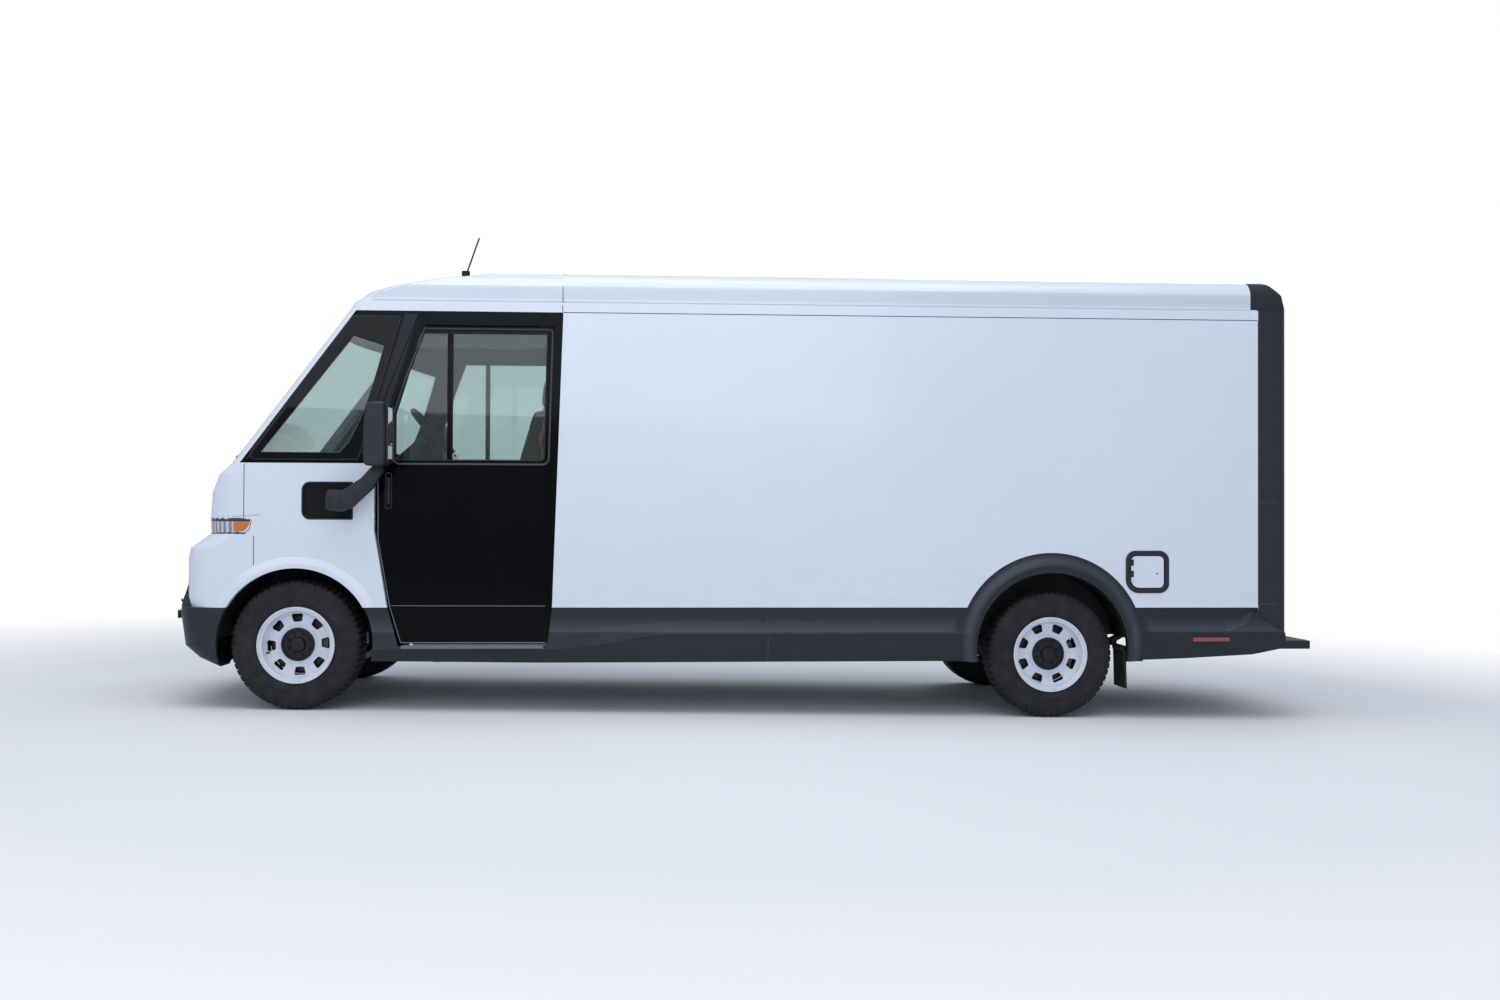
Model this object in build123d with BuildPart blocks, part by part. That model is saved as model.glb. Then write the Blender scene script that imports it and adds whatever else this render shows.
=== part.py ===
from build123d import *
import os
from math import cos, radians, sin

os.makedirs("parts", exist_ok=True)

# An electric delivery van. Millimetres, +X to the rear, +Y to the van's right, +Z up.
# Every piece is drawn in the body's level frame: x from the front axle line, z from the road under it.
# The unladen body stands nose down by RAKE, turned about the front axle line, and save() sets it so.

# Stance and track
WHEELBASE = 4661
AXLE_Z = 396
RAKE = 0.8

# Body envelope
HALF_WIDTH = 1010
LIP_WIDTH = HALF_WIDTH + 20
BAND_HALF = HALF_WIDTH - 25
BELT_Z = 627
CAB_REAR = 1608
BODY_REAR = WHEELBASE + 1509
STEP_REAR = BODY_REAR + 230
FLANGE_LOW = 2440
FLANGE_TOP = FLANGE_LOW + 60
BAND_TOP = FLANGE_TOP + 105
ROOF_TOP = BAND_TOP + 135
CEILING_Z = ROOF_TOP - 100
SKIRT_LOW = 290

# Nose levels
LAMP_LOW = BELT_Z + 451
LAMP_TOP = LAMP_LOW + 85
HOOD_LOW = LAMP_TOP + 7
COWL_Z = HOOD_LOW + 336

# Walls, clearances and floors
PANEL = 36
GLASS = 6
ROOF_WALL = 45
MOVE_GAP = 7
FLOOR_TOP = 720
FLOOR_WALL = 45
DECK_WALL = 8
RAIL_LOW = 480
RAIL_WIDE = 70

# Wheels and tyres, and what stands off the wheels' middle plane
WHEEL_Y = HALF_WIDTH - 148
TYRE_R = 396
TYRE_WIDE = 245
RIM_FLANGE_R = 233.5
RIM_BEAD_R = 216
RIM_WALL = 8
HUB_FACE_Y = WHEEL_Y + 56
SPINDLE_R = 30
SPINDLE_GAP = 0.5
STEER_Y = WHEEL_Y - 72
ARM_DROP = 150
WELL_IN_Y = WHEEL_Y - 162
RAIL_Y = WHEEL_Y - 262
LINER_INNER_Y = WHEEL_Y - 357
FRONT_RAIL_Y = WHEEL_Y - 442

# Arches: the front one is round the wheel, the rear one round a point a little above it
FRONT_ARCH_R = 470
FRONT_FLARE_R = 545
REAR_ARCH_R = 478
REAR_ARCH_Z = AXLE_Z - 30
REAR_FLARE_R = 588
REAR_FLARE_Z = AXLE_Z - 15
LINER_WALL = 12

# Sliding cab doors
DOOR_OUT_Y = HALF_WIDTH - 35
DOOR_THICK = 40
DOOR_TRAVEL = 860
DOOR_TOP = FLANGE_LOW - 85
DOOR_LOW = 404
DOOR_TUCK = 36

# Rear doors and their frame
REAR_DOOR_HALF = HALF_WIDTH - 160
REAR_DOOR_LOW = BELT_Z + 25
REAR_DOOR_TOP = FLANGE_LOW - 68
REAR_DOOR_THICK = 48
REAR_FRAME_FRONT = BODY_REAR - 190
ROOF_REAR = BODY_REAR - 230
REAR_CORNER_R = 60
HINGE_R = 12
HINGE_OUT = 24
HINGE_LONG = 50
HINGE_LEVELS = (900, 1500, 2150)

# Charge door on the left wall
CHARGE_X = (WHEELBASE + 503, WHEELBASE + 711)
CHARGE_Z = (BELT_Z + 125, BELT_Z + 323)
CHARGE_RING = 34
CHARGE_DEEP = 70

# Steering wheel
HELM = (740, 560 - HALF_WIDTH, 1725)
HELM_R = 190
HELM_TILT = 42

REAR_AXLE_X = WHEELBASE * cos(radians(RAKE))
REAR_AXLE_Z = AXLE_Z - WHEELBASE * sin(radians(RAKE))
POCKET_IN_Y = DOOR_OUT_Y - DOOR_THICK - MOVE_GAP
POCKET_OUT_Y = DOOR_OUT_Y + MOVE_GAP
WALL_IN_Y = POCKET_IN_Y - 18
SKIRT_IN_Y = POCKET_OUT_Y + 3
HINGE_X = BODY_REAR + HINGE_OUT - 4
HINGE_Y = REAR_DOOR_HALF + 14
FRAME_BACK = BODY_REAR - 90

# Plan sections of the cab from the belt to the roof: height, nose line on the centreline, how far the ends
# of the front curve lie behind it, half width and corner radius
SWEEP = 175
COWL_X = -547
SCREEN_TOP_X = 149
CAB_SECTIONS = [
    (BELT_Z, -786, SWEEP, HALF_WIDTH, 180),
    (BELT_Z + 63, -802, SWEEP, HALF_WIDTH, 180),
    (BELT_Z + 298, -804, SWEEP, HALF_WIDTH, 180),
    (BELT_Z + 358, -792, SWEEP, HALF_WIDTH, 180),
    (BELT_Z + 389, -748, SWEEP, HALF_WIDTH, 180),
    (LAMP_LOW - 3, -668, SWEEP, HALF_WIDTH, 180),
    (LAMP_TOP + 2, -673, SWEEP, HALF_WIDTH, 175),
    (COWL_Z - 182, -663, SWEEP, HALF_WIDTH, 160),
    (COWL_Z - 72, -624, SWEEP, HALF_WIDTH, 130),
    (COWL_Z, COWL_X, SWEEP, HALF_WIDTH, 95),
    (FLANGE_LOW, SCREEN_TOP_X, SWEEP, HALF_WIDTH, 95),
    (FLANGE_TOP, 190, SWEEP, HALF_WIDTH, 95),
    (FLANGE_TOP + 6, 196, SWEEP, BAND_HALF, 90),
    (FLANGE_TOP + 63, 268, 185, BAND_HALF, 100),
    (BAND_TOP, 391, 200, BAND_HALF, 120),
    (BAND_TOP + 50, 600, 250, HALF_WIDTH - 55, 140),
    (BAND_TOP + 87, 790, 370, HALF_WIDTH - 110, 150),
    (BAND_TOP + 120, 1030, 530, HALF_WIDTH - 310, 150),
    (ROOF_TOP - 2, 1430, 120, HALF_WIDTH - 710, 50),
]

# The bumper's plan sections, with the same columns
BUMPER_SECTIONS = [
    (262, -625, 165, HALF_WIDTH - 50, 130),
    (316, -740, 180, HALF_WIDTH - 15, 170),
    (391, -828, 188, HALF_WIDTH, 185),
    (BELT_Z - 38, -858, 190, HALF_WIDTH + 4, 190),
    (BELT_Z, -856, 190, HALF_WIDTH + 2, 188),
    (BELT_Z + 31, -850, 188, HALF_WIDTH, 185),
    (BELT_Z + 78, -828, 180, HALF_WIDTH, 180),
    (BELT_Z + 130, -809, SWEEP, HALF_WIDTH, 180),
    (BELT_Z + 200, -806, SWEEP, HALF_WIDTH, 180),
]

# The bumper's middle rises over the nose's foot inside this front outline: half width, height over the belt
BUMPER_RISE = [(830, -1), (826, 2), (800, 8), (780, 22), (766, 44), (760, 75), (760, 185)]

# Side outlines as x, z
SCREEN_LINE = [(COWL_X + SWEEP - 15, COWL_Z), (SCREEN_TOP_X + SWEEP - 21, FLANGE_LOW)]
PILLAR_WIDE = 52
QUARTER_GLASS = [(-300, COWL_Z + 22), (372, COWL_Z + 22), (628, FLANGE_LOW - 35), (342, FLANGE_LOW - 35)]
DOOR_FRONT = [(764, DOOR_TOP), (561, 1798), (481, 1557), (485, 1038), (557, 632), (627, DOOR_LOW)]
DOOR_REAR = [(1517, DOOR_LOW), (1560, DOOR_TOP)]
DOOR_WINDOW = [(740, DOOR_TOP - 37), (586, 1812), (586, 1525), (1500, 1525), (1520, DOOR_TOP - 37)]
WINDOW_CORNERS = (14, 60, 28, 28, 14)
STRIP_FRONT = [(1553, BELT_Z), (1614, FLANGE_LOW)]
FENDER_REAR = [(472, COWL_Z), (472, 1097), (552, BELT_Z)]
FENDER_SEAM_X = -307
FENDER_SEAM_STEP = 60
VENT = [(36, 1161), (346, 1161), (346, 1393), (36, 1393)]
VENT_CORNERS = (52, 8, 8, 52)
SILL_TOP = 392
CHARGE_HOLE = [(CHARGE_X[0] - CHARGE_RING, CHARGE_Z[0] - CHARGE_RING),
               (CHARGE_X[1] + CHARGE_RING, CHARGE_Z[0] - CHARGE_RING),
               (CHARGE_X[1] + CHARGE_RING, CHARGE_Z[1] + CHARGE_RING),
               (CHARGE_X[0] - CHARGE_RING, CHARGE_Z[1] + CHARGE_RING)]
CHARGE_CORNERS = (85, 62, 62, 62)
CHARGE_DOOR_CORNERS = (50, 30, 30, 30)
POCKET_REAR = DOOR_REAR[0][0] + DOOR_TUCK + DOOR_TRAVEL + 60

# The skirt's crease along the van: station and height
SKIRT_CREASE = [(400, 372), (1487, 372), (1694, 381), (1890, 409), (2021, 433), (2135, 455), (2267, 465),
                (WHEELBASE - 583, 464), (WHEELBASE + 534, 479), (WHEELBASE + 1113, 478),
                (WHEELBASE + 1222, 520), (WHEELBASE + 1300, 600), (BODY_REAR, 606)]

# A length that no piece of the van reaches, for cuts that run right through
PAST = 9000


def to_world(x, z):
    """How far behind the front axle a point of the body frame stands once the body is raked."""
    return x * cos(radians(RAKE)) - (z - AXLE_Z) * sin(radians(RAKE))


STEP_LOW = 350
NOSE_REACH = min(to_world(front, z) for z, front, sweep, half, corner in BUMPER_SECTIONS)
MID_X = (NOSE_REACH + to_world(STEP_REAR, STEP_LOW)) / 2
STANCE = Location((-MID_X, 0, AXLE_Z), (0, -RAKE, 0)) * Location((0, 0, -AXLE_Z))


def save(builder, label):
    """Set a finished piece down on the wheels, name it and write it."""
    placed = builder.part.moved(STANCE)
    placed.label = label
    export_step(placed, f"parts/{label}.step")


def round_corners(profile, points, corners):
    """Round an outline's corners, each by its own radius."""
    for point, radius in zip(points, corners):
        if radius:
            fillet(profile.vertices().sort_by_distance(point)[0], radius)


def side_slab(points, y_near, y_far, corners=(), mode=Mode.ADD):
    """A side outline in x, z made a slab between two distances from the middle, on the left side."""
    with BuildSketch(Plane.XZ.offset(y_near)) as profile:
        Polygon(*points)
        round_corners(profile, points, corners)
    extrude(profile.sketch, amount=y_far - y_near, dir=(0, -1, 0), mode=mode)


def side_cut(points, corners=(), mode=Mode.SUBTRACT):
    """A side outline in x, z taken right across the van."""
    with BuildSketch(Plane.XZ.offset(-PAST)) as profile:
        Polygon(*points)
        round_corners(profile, points, corners)
    extrude(profile.sketch, amount=2 * PAST, dir=(0, -1, 0), mode=mode)


def block(x0, x1, y0, y1, z0, z1, mode=Mode.ADD):
    """A block between two corners."""
    with Locations(((x0 + x1) / 2, (y0 + y1) / 2, (z0 + z1) / 2)):
        Box(x1 - x0, y1 - y0, z1 - z0, mode=mode)


def arch_cut(x, z, radius, y_near=0, y_far=PAST, mode=Mode.SUBTRACT):
    """A round wheel opening, through both sides between two distances from the middle."""
    for side in (-1, 1):
        with Locations(Location((x, side * (y_near + y_far) / 2, z), (90, 0, 0))):
            Cylinder(radius, y_far - y_near, mode=mode)


def disc(x, y0, y1, z, radius, mode=Mode.ADD):
    """A round bar or hole across the van."""
    with Locations(Location((x, (y0 + y1) / 2, z), (90, 0, 0))):
        Cylinder(radius, abs(y1 - y0), mode=mode)


def flare(x, z, radius, side, y_near, y_far, slope):
    """A round boss on one side whose rim slopes in towards its outer face."""
    with Locations(Location((x, side * (y_near + y_far) / 2, z), (-90 * side, 0, 0))):
        Cone(radius, radius - slope, y_far - y_near)


def plan_form(sections, inset=0, lid=0):
    """The solid inside a stack of plan sections, drawn in by an inset, and from the flange up by a lid."""
    levels = []
    for z, front, sweep, half, corner in sections:
        nose = front + inset
        ends = nose + sweep
        side = half - inset
        back = CAB_REAR + 3 * inset
        level = z - lid if z > FLANGE_TOP else z
        with BuildSketch(Plane.XY.offset(level)) as section:
            with BuildLine():
                ThreePointArc((ends, -side), (nose, 0), (ends, side))
                Polyline((ends, side), (back, side), (back, -side), (ends, -side))
            make_face()
            corners = section.vertices().group_by(Axis.X)[0]
            fillet(corners, max(corner - inset, 8))
        levels.append(section.sketch)
    loft(levels, ruled=True)


# The cab's outer form, hollowed to a panel's and to a glass's thickness
with BuildPart() as cab_inner:
    plan_form(CAB_SECTIONS, PANEL, ROOF_WALL)
with BuildPart() as glass_inner:
    plan_form(CAB_SECTIONS, GLASS, GLASS)
with BuildPart() as cab_wall:
    plan_form(CAB_SECTIONS)
    add(cab_inner.part, mode=Mode.SUBTRACT)
with BuildPart() as cab_skin:
    plan_form(CAB_SECTIONS)
    add(glass_inner.part, mode=Mode.SUBTRACT)
with BuildPart() as bumper_inner:
    plan_form(BUMPER_SECTIONS, PANEL + 20)

(line_low_x, line_low_z), (line_top_x, line_top_z) = SCREEN_LINE
SCREEN_ZONE = [(-PAST, line_low_z), (line_low_x, line_low_z), (line_top_x, line_top_z), (-PAST, line_top_z)]
PILLAR_ZONE = [
    (line_low_x, line_low_z),
    (line_low_x + PILLAR_WIDE, line_low_z),
    (line_top_x + PILLAR_WIDE, line_top_z),
    (line_top_x, line_top_z),
]
FRAME_ZONE = [
    (line_low_x + PILLAR_WIDE, line_low_z),
    FENDER_REAR[0],
    *reversed(DOOR_FRONT[:3]),
    DOOR_REAR[1],
    (DOOR_REAR[1][0] - 20, BELT_Z),
    STRIP_FRONT[0],
    STRIP_FRONT[1],
    (line_top_x + PILLAR_WIDE, line_top_z),
]

with BuildPart() as windscreen:
    add(cab_skin.part)
    side_cut(SCREEN_ZONE, mode=Mode.INTERSECT)
save(windscreen, "windscreen")

with BuildPart() as a_pillars:
    add(cab_wall.part)
    side_cut(PILLAR_ZONE, mode=Mode.INTERSECT)
save(a_pillars, "windscreen_pillars")

with BuildPart() as cab_frame:
    add(cab_wall.part)
    side_cut(FRAME_ZONE, mode=Mode.INTERSECT)
    side_cut(QUARTER_GLASS)
    block(DOOR_REAR[0][0] - 60, CAB_REAR, -POCKET_OUT_Y, POCKET_OUT_Y, BELT_Z, DOOR_TOP + MOVE_GAP,
          mode=Mode.SUBTRACT)
save(cab_frame, "cab_frame")

with BuildPart() as quarter_glass:
    add(cab_skin.part)
    side_cut(QUARTER_GLASS, mode=Mode.INTERSECT)
save(quarter_glass, "quarter_glass")

with BuildPart() as cab_roof:
    add(cab_wall.part)
    block(-PAST, PAST, -PAST, PAST, FLANGE_LOW, PAST, mode=Mode.INTERSECT)
save(cab_roof, "cab_roof")

with BuildPart() as hood:
    add(cab_wall.part)
    block(-PAST, FENDER_SEAM_X, -PAST, PAST, HOOD_LOW, COWL_Z, mode=Mode.INTERSECT)
save(hood, "hood")

LAMP_FRONT_HALF = HALF_WIDTH - 370
LAMP_REAR_X = -268
with BuildPart() as headlamps:
    add(cab_wall.part)
    block(-PAST, LAMP_REAR_X, -PAST, PAST, LAMP_LOW, LAMP_TOP, mode=Mode.INTERSECT)
    block(-PAST, PAST, -LAMP_FRONT_HALF, LAMP_FRONT_HALF, 0, PAST, mode=Mode.SUBTRACT)
save(headlamps, "headlamps")

FLARE_OUT = 9
with BuildPart() as front_flares:
    for side in (-1, 1):
        disc(0, side * (HALF_WIDTH - PANEL + 6), side * (HALF_WIDTH - 1), AXLE_Z, FRONT_FLARE_R)
        flare(0, AXLE_Z, FRONT_FLARE_R, side, HALF_WIDTH - 1, HALF_WIDTH + FLARE_OUT, 48)
    block(-PAST, PAST, -PAST, PAST, BELT_Z, COWL_Z, mode=Mode.INTERSECT)

with BuildPart() as bumper_zone:
    block(-PAST, -250, -PAST, PAST, 0, BELT_Z)
    with BuildSketch(Plane.YZ):
        Polygon(*[(-half, BELT_Z + rise) for half, rise in BUMPER_RISE],
                *[(half, BELT_Z + rise) for half, rise in reversed(BUMPER_RISE)])
    extrude(amount=-PAST)

with BuildPart() as nose_panel:
    add(cab_wall.part)
    add(front_flares.part)
    block(-PAST, FENDER_SEAM_X + FENDER_SEAM_STEP, -PAST, PAST, BELT_Z, HOOD_LOW, mode=Mode.INTERSECT)
    arch_cut(0, AXLE_Z, FRONT_ARCH_R)
    add(headlamps.part, mode=Mode.SUBTRACT)
    add(bumper_zone.part, mode=Mode.SUBTRACT)
save(nose_panel, "nose_panel")

with BuildPart() as fenders:
    add(cab_wall.part)
    add(front_flares.part)
    side_cut([(FENDER_SEAM_X, COWL_Z), (FENDER_SEAM_X, HOOD_LOW),
              (FENDER_SEAM_X + FENDER_SEAM_STEP, HOOD_LOW), (FENDER_SEAM_X + FENDER_SEAM_STEP, BELT_Z),
              *reversed(FENDER_REAR)],
             mode=Mode.INTERSECT)
    arch_cut(0, AXLE_Z, FRONT_ARCH_R)
    side_cut(VENT, VENT_CORNERS)
save(fenders, "fenders")

VENT_FACE_Y = HALF_WIDTH - 14
with BuildPart() as side_vents:
    side_slab(VENT, HALF_WIDTH - PANEL, VENT_FACE_Y, VENT_CORNERS)
    mirror(about=Plane.XZ)
save(side_vents, "side_vents")

with BuildPart() as front_bumper:
    plan_form(BUMPER_SECTIONS)
    add(bumper_inner.part, mode=Mode.SUBTRACT)
    add(bumper_zone.part, mode=Mode.INTERSECT)
    arch_cut(0, AXLE_Z, FRONT_ARCH_R)
    arch_cut(0, AXLE_Z, FRONT_ARCH_R + LINER_WALL, 0, HALF_WIDTH - PANEL)
save(front_bumper, "front_bumper")

# Lower sides: a sill under each door, a skirt behind it and a flare round each rear wheel
SKIRT_TUCK = 18
SKIRT_SINK = 8
# The skirt's hollow face over its crease: how far in from the body's side, and the share of the rise
SKIRT_FACE = ((SKIRT_SINK + 2, 1.0), (SKIRT_SINK, 0.45), (-3, 0.2))
# The rear flare's two sloping bands: from and to across the van, the first radius and how much it loses
FLARE_BANDS = ((HALF_WIDTH - SKIRT_SINK, HALF_WIDTH + 3, REAR_FLARE_R - 32, 22),
               (HALF_WIDTH + 3, LIP_WIDTH + 2, REAR_FLARE_R - 54, 28))
SKIRT_ZONE = [(440, SKIRT_LOW + 12), (DOOR_REAR[0][0] - 30, SKIRT_LOW), (WHEELBASE + 481, 297),
              (WHEELBASE + 856, 310), (REAR_FRAME_FRONT - 39, 333), (BODY_REAR - 13, 376),
              (BODY_REAR - 20, 470), (REAR_FRAME_FRONT, 560), (REAR_FRAME_FRONT, BELT_Z),
              (STRIP_FRONT[0][0], BELT_Z), (DOOR_REAR[0][0] + 8, SILL_TOP),
              (DOOR_FRONT[5][0] - 8, SILL_TOP), (552, BELT_Z), (380, BELT_Z)]
with BuildPart() as skirts:
    skirt_stations = []
    for x, crease in SKIRT_CREASE:
        with BuildSketch(Plane.YZ.offset(x)) as section:
            Polygon((-SKIRT_IN_Y, SKIRT_LOW - 10), (-SKIRT_IN_Y, BELT_Z),
                    *[(inset - HALF_WIDTH, crease + share * (BELT_Z - crease))
                      for inset, share in SKIRT_FACE],
                    (-LIP_WIDTH, crease), (-LIP_WIDTH + SKIRT_TUCK, SKIRT_LOW - 10))
        skirt_stations.append(section.sketch)
    loft(skirt_stations, ruled=True)
    side_cut(SKIRT_ZONE, mode=Mode.INTERSECT)
    disc(REAR_AXLE_X, -SKIRT_IN_Y, SKIRT_SINK - HALF_WIDTH, REAR_FLARE_Z, REAR_FLARE_R)
    for y_near, y_far, radius, slope in FLARE_BANDS:
        flare(REAR_AXLE_X, REAR_FLARE_Z, radius, -1, y_near, y_far, slope)
    block(-PAST, PAST, -PAST, PAST, -PAST, SKIRT_LOW, mode=Mode.SUBTRACT)
    disc(REAR_AXLE_X, 0, -PAST, REAR_ARCH_Z, REAR_ARCH_R, mode=Mode.SUBTRACT)
    disc(0, 0, -PAST, AXLE_Z, FRONT_ARCH_R, mode=Mode.SUBTRACT)
    mirror(about=Plane.XZ)
save(skirts, "skirts")

# Cargo body: two side walls with the doors' pockets, a roof cap and a bulkhead behind the cab
WALL_ZONE = [STRIP_FRONT[0], (REAR_FRAME_FRONT, BELT_Z), (REAR_FRAME_FRONT, FLANGE_LOW), STRIP_FRONT[1]]
with BuildPart() as cargo_walls:
    side_slab(WALL_ZONE, WALL_IN_Y, HALF_WIDTH)
    block(DOOR_REAR[0][0] - 60, POCKET_REAR, -POCKET_OUT_Y, -POCKET_IN_Y, 0, DOOR_TOP + MOVE_GAP,
          mode=Mode.SUBTRACT)
    disc(REAR_AXLE_X, -SKIRT_IN_Y, -PAST, REAR_FLARE_Z, REAR_FLARE_R, mode=Mode.SUBTRACT)
    disc(REAR_AXLE_X, 0, -PAST, REAR_ARCH_Z, REAR_ARCH_R + LINER_WALL, mode=Mode.SUBTRACT)
    mirror(about=Plane.XZ)
    side_slab(CHARGE_HOLE, HALF_WIDTH - CHARGE_DEEP, HALF_WIDTH + 10, CHARGE_CORNERS, mode=Mode.SUBTRACT)
save(cargo_walls, "cargo_walls")


SHOULDER_DROP = 46


def roof_run(x0, x1):
    """A run of the roof between two stations: flange, set-in band, shoulder and crown."""
    crown = BAND_HALF - 105
    crown_z = ROOF_TOP - SHOULDER_DROP
    shoulder = (BAND_HALF - 30, BAND_TOP + 53)
    with BuildSketch(Plane.YZ.offset(x0)) as across:
        with BuildLine():
            Polyline((-HALF_WIDTH, FLANGE_LOW), (-HALF_WIDTH, FLANGE_TOP), (-BAND_HALF, FLANGE_TOP + 6),
                     (-BAND_HALF, BAND_TOP))
            ThreePointArc((-BAND_HALF, BAND_TOP), (-shoulder[0], shoulder[1]), (-crown, crown_z))
            ThreePointArc((-crown, crown_z), (0, ROOF_TOP), (crown, crown_z))
            ThreePointArc((crown, crown_z), shoulder, (BAND_HALF, BAND_TOP))
            Polyline((BAND_HALF, BAND_TOP), (BAND_HALF, FLANGE_TOP + 6), (HALF_WIDTH, FLANGE_TOP),
                     (HALF_WIDTH, FLANGE_LOW), (-HALF_WIDTH, FLANGE_LOW))
        make_face()
    extrude(across.sketch, amount=x1 - x0, dir=(1, 0, 0))


def roof_hollow(x0, x1):
    """The flat-ceilinged space under a run of the roof, taken out."""
    wall = BAND_HALF - ROOF_WALL
    corner = BAND_HALF - 105
    with BuildSketch(Plane.YZ.offset(x0)) as space:
        Polygon((-wall, FLANGE_LOW - 1), (-wall, BAND_TOP - ROOF_WALL), (-corner, CEILING_Z),
                (corner, CEILING_Z), (wall, BAND_TOP - ROOF_WALL), (wall, FLANGE_LOW - 1))
    extrude(space.sketch, amount=x1 - x0, dir=(1, 0, 0), mode=Mode.SUBTRACT)


with BuildPart() as cargo_roof:
    roof_run(CAB_REAR, ROOF_REAR)
    roof_hollow(CAB_REAR, ROOF_REAR)
save(cargo_roof, "cargo_roof")

BULKHEAD_X = 1650
BULKHEAD_WALL = 36
BULKHEAD_DOOR = (-260, 400)
with BuildPart() as bulkhead:
    block(BULKHEAD_X, BULKHEAD_X + BULKHEAD_WALL, -WALL_IN_Y, WALL_IN_Y, FLOOR_TOP, FLANGE_LOW)
    block(BULKHEAD_X - 1, BULKHEAD_X + BULKHEAD_WALL + 1, *BULKHEAD_DOOR, FLOOR_TOP, FLANGE_LOW - 110,
          mode=Mode.SUBTRACT)
save(bulkhead, "bulkhead")

# Tail lamps, sunk in the rear frame beside the doors
TAIL_LAMP_Y = (REAR_DOOR_HALF + 30, HALF_WIDTH - REAR_CORNER_R - 4)
TAIL_LAMP_Z = (1560, 2060)
TAIL_LAMP_DEEP = 12
with BuildPart() as tail_lamps:
    for side in (-1, 1):
        across = sorted((side * TAIL_LAMP_Y[0], side * TAIL_LAMP_Y[1]))
        block(BODY_REAR - TAIL_LAMP_DEEP, BODY_REAR + 2, *across, *TAIL_LAMP_Z)
save(tail_lamps, "tail_lamps")

# Rear frame: a black ring that closes the body's rear corner, open for the two doors
FRAME_FOOT = 380
REAR_PROFILE = [(ROOF_REAR, ROOF_TOP - 10), (BODY_REAR - 102, ROOF_TOP - 60),
                (BODY_REAR - 30, ROOF_TOP - 140), (BODY_REAR, FLANGE_LOW + 40),
                (BODY_REAR, FRAME_FOOT + 60), (BODY_REAR - 20, FRAME_FOOT),
                (REAR_FRAME_FRONT, FRAME_FOOT), (REAR_FRAME_FRONT, FLANGE_LOW), (ROOF_REAR, FLANGE_LOW)]
with BuildPart() as rear_frame:
    roof_run(ROOF_REAR, BODY_REAR)
    block(REAR_FRAME_FRONT, BODY_REAR, -HALF_WIDTH, HALF_WIDTH, FRAME_FOOT, FLANGE_LOW)
    side_cut(REAR_PROFILE, mode=Mode.INTERSECT)
    with BuildSketch() as plan:
        Polygon((ROOF_REAR - 1, -HALF_WIDTH), (BODY_REAR, -HALF_WIDTH), (BODY_REAR, HALF_WIDTH),
                (ROOF_REAR - 1, HALF_WIDTH))
        fillet(plan.vertices().group_by(Axis.X)[-1], REAR_CORNER_R)
    extrude(plan.sketch, amount=PAST, dir=(0, 0, 1), mode=Mode.INTERSECT)
    block(ROOF_REAR - 1, FRAME_BACK, -WALL_IN_Y, WALL_IN_Y, 0, FLANGE_LOW, mode=Mode.SUBTRACT)
    roof_hollow(ROOF_REAR - 1, FRAME_BACK)
    block(ROOF_REAR - 1, BODY_REAR + 1, -REAR_DOOR_HALF - 8, REAR_DOOR_HALF + 8, REAR_DOOR_LOW - 8,
          REAR_DOOR_TOP + 8, mode=Mode.SUBTRACT)
    for side in (-1, 1):
        lug = sorted((side * (HINGE_Y - 2), side * (HINGE_Y + HINGE_R)))
        for z in HINGE_LEVELS:
            with Locations((HINGE_X, side * HINGE_Y, z + HINGE_LONG / 2)):
                Cylinder(HINGE_R, HINGE_LONG)
            block(BODY_REAR - 10, HINGE_X, *lug, z, z + HINGE_LONG)
    add(skirts.part, mode=Mode.SUBTRACT)
    add(tail_lamps.part, mode=Mode.SUBTRACT)
save(rear_frame, "rear_frame")

STEP_TOP = STEP_LOW + 52
with BuildPart() as rear_step:
    block(BODY_REAR, STEP_REAR, -REAR_DOOR_HALF + 30, REAR_DOOR_HALF - 30, STEP_LOW, STEP_TOP)
save(rear_step, "rear_step")

REFLECTOR_X = (WHEELBASE + 892, WHEELBASE + 1130)
with BuildPart() as reflectors:
    side_slab([(REFLECTOR_X[0], 415), (REFLECTOR_X[1], 418), (REFLECTOR_X[1] - 6, 441),
               (REFLECTOR_X[0], 441)], LIP_WIDTH - 14, LIP_WIDTH + 1)
    mirror(about=Plane.XZ)
    add(skirts.part, mode=Mode.SUBTRACT)
save(reflectors, "reflectors")

# Rear doors, each hinged on the frame's rear edge
for label, side in (("rear_door_left", -1), ("rear_door_right", 1)):
    with BuildPart() as rear_door:
        y0, y1 = sorted((side * 4, side * REAR_DOOR_HALF))
        block(BODY_REAR - REAR_DOOR_THICK, BODY_REAR, y0, y1, REAR_DOOR_LOW, REAR_DOOR_TOP)
        strap = sorted((side * (HINGE_Y - 120), side * (HINGE_Y - 8)))
        riser = sorted((side * (HINGE_Y - 10), side * (HINGE_Y + 4)))
        for z in HINGE_LEVELS:
            with Locations((HINGE_X, side * HINGE_Y, z - HINGE_LONG / 2 - 6)):
                Cylinder(HINGE_R, HINGE_LONG)
            block(BODY_REAR, BODY_REAR + 8, *strap, z - HINGE_LONG - 6, z - 6)
            block(BODY_REAR + 3, HINGE_X, *riser, z - HINGE_LONG - 6, z - 6)
    save(rear_door, label)

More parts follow.
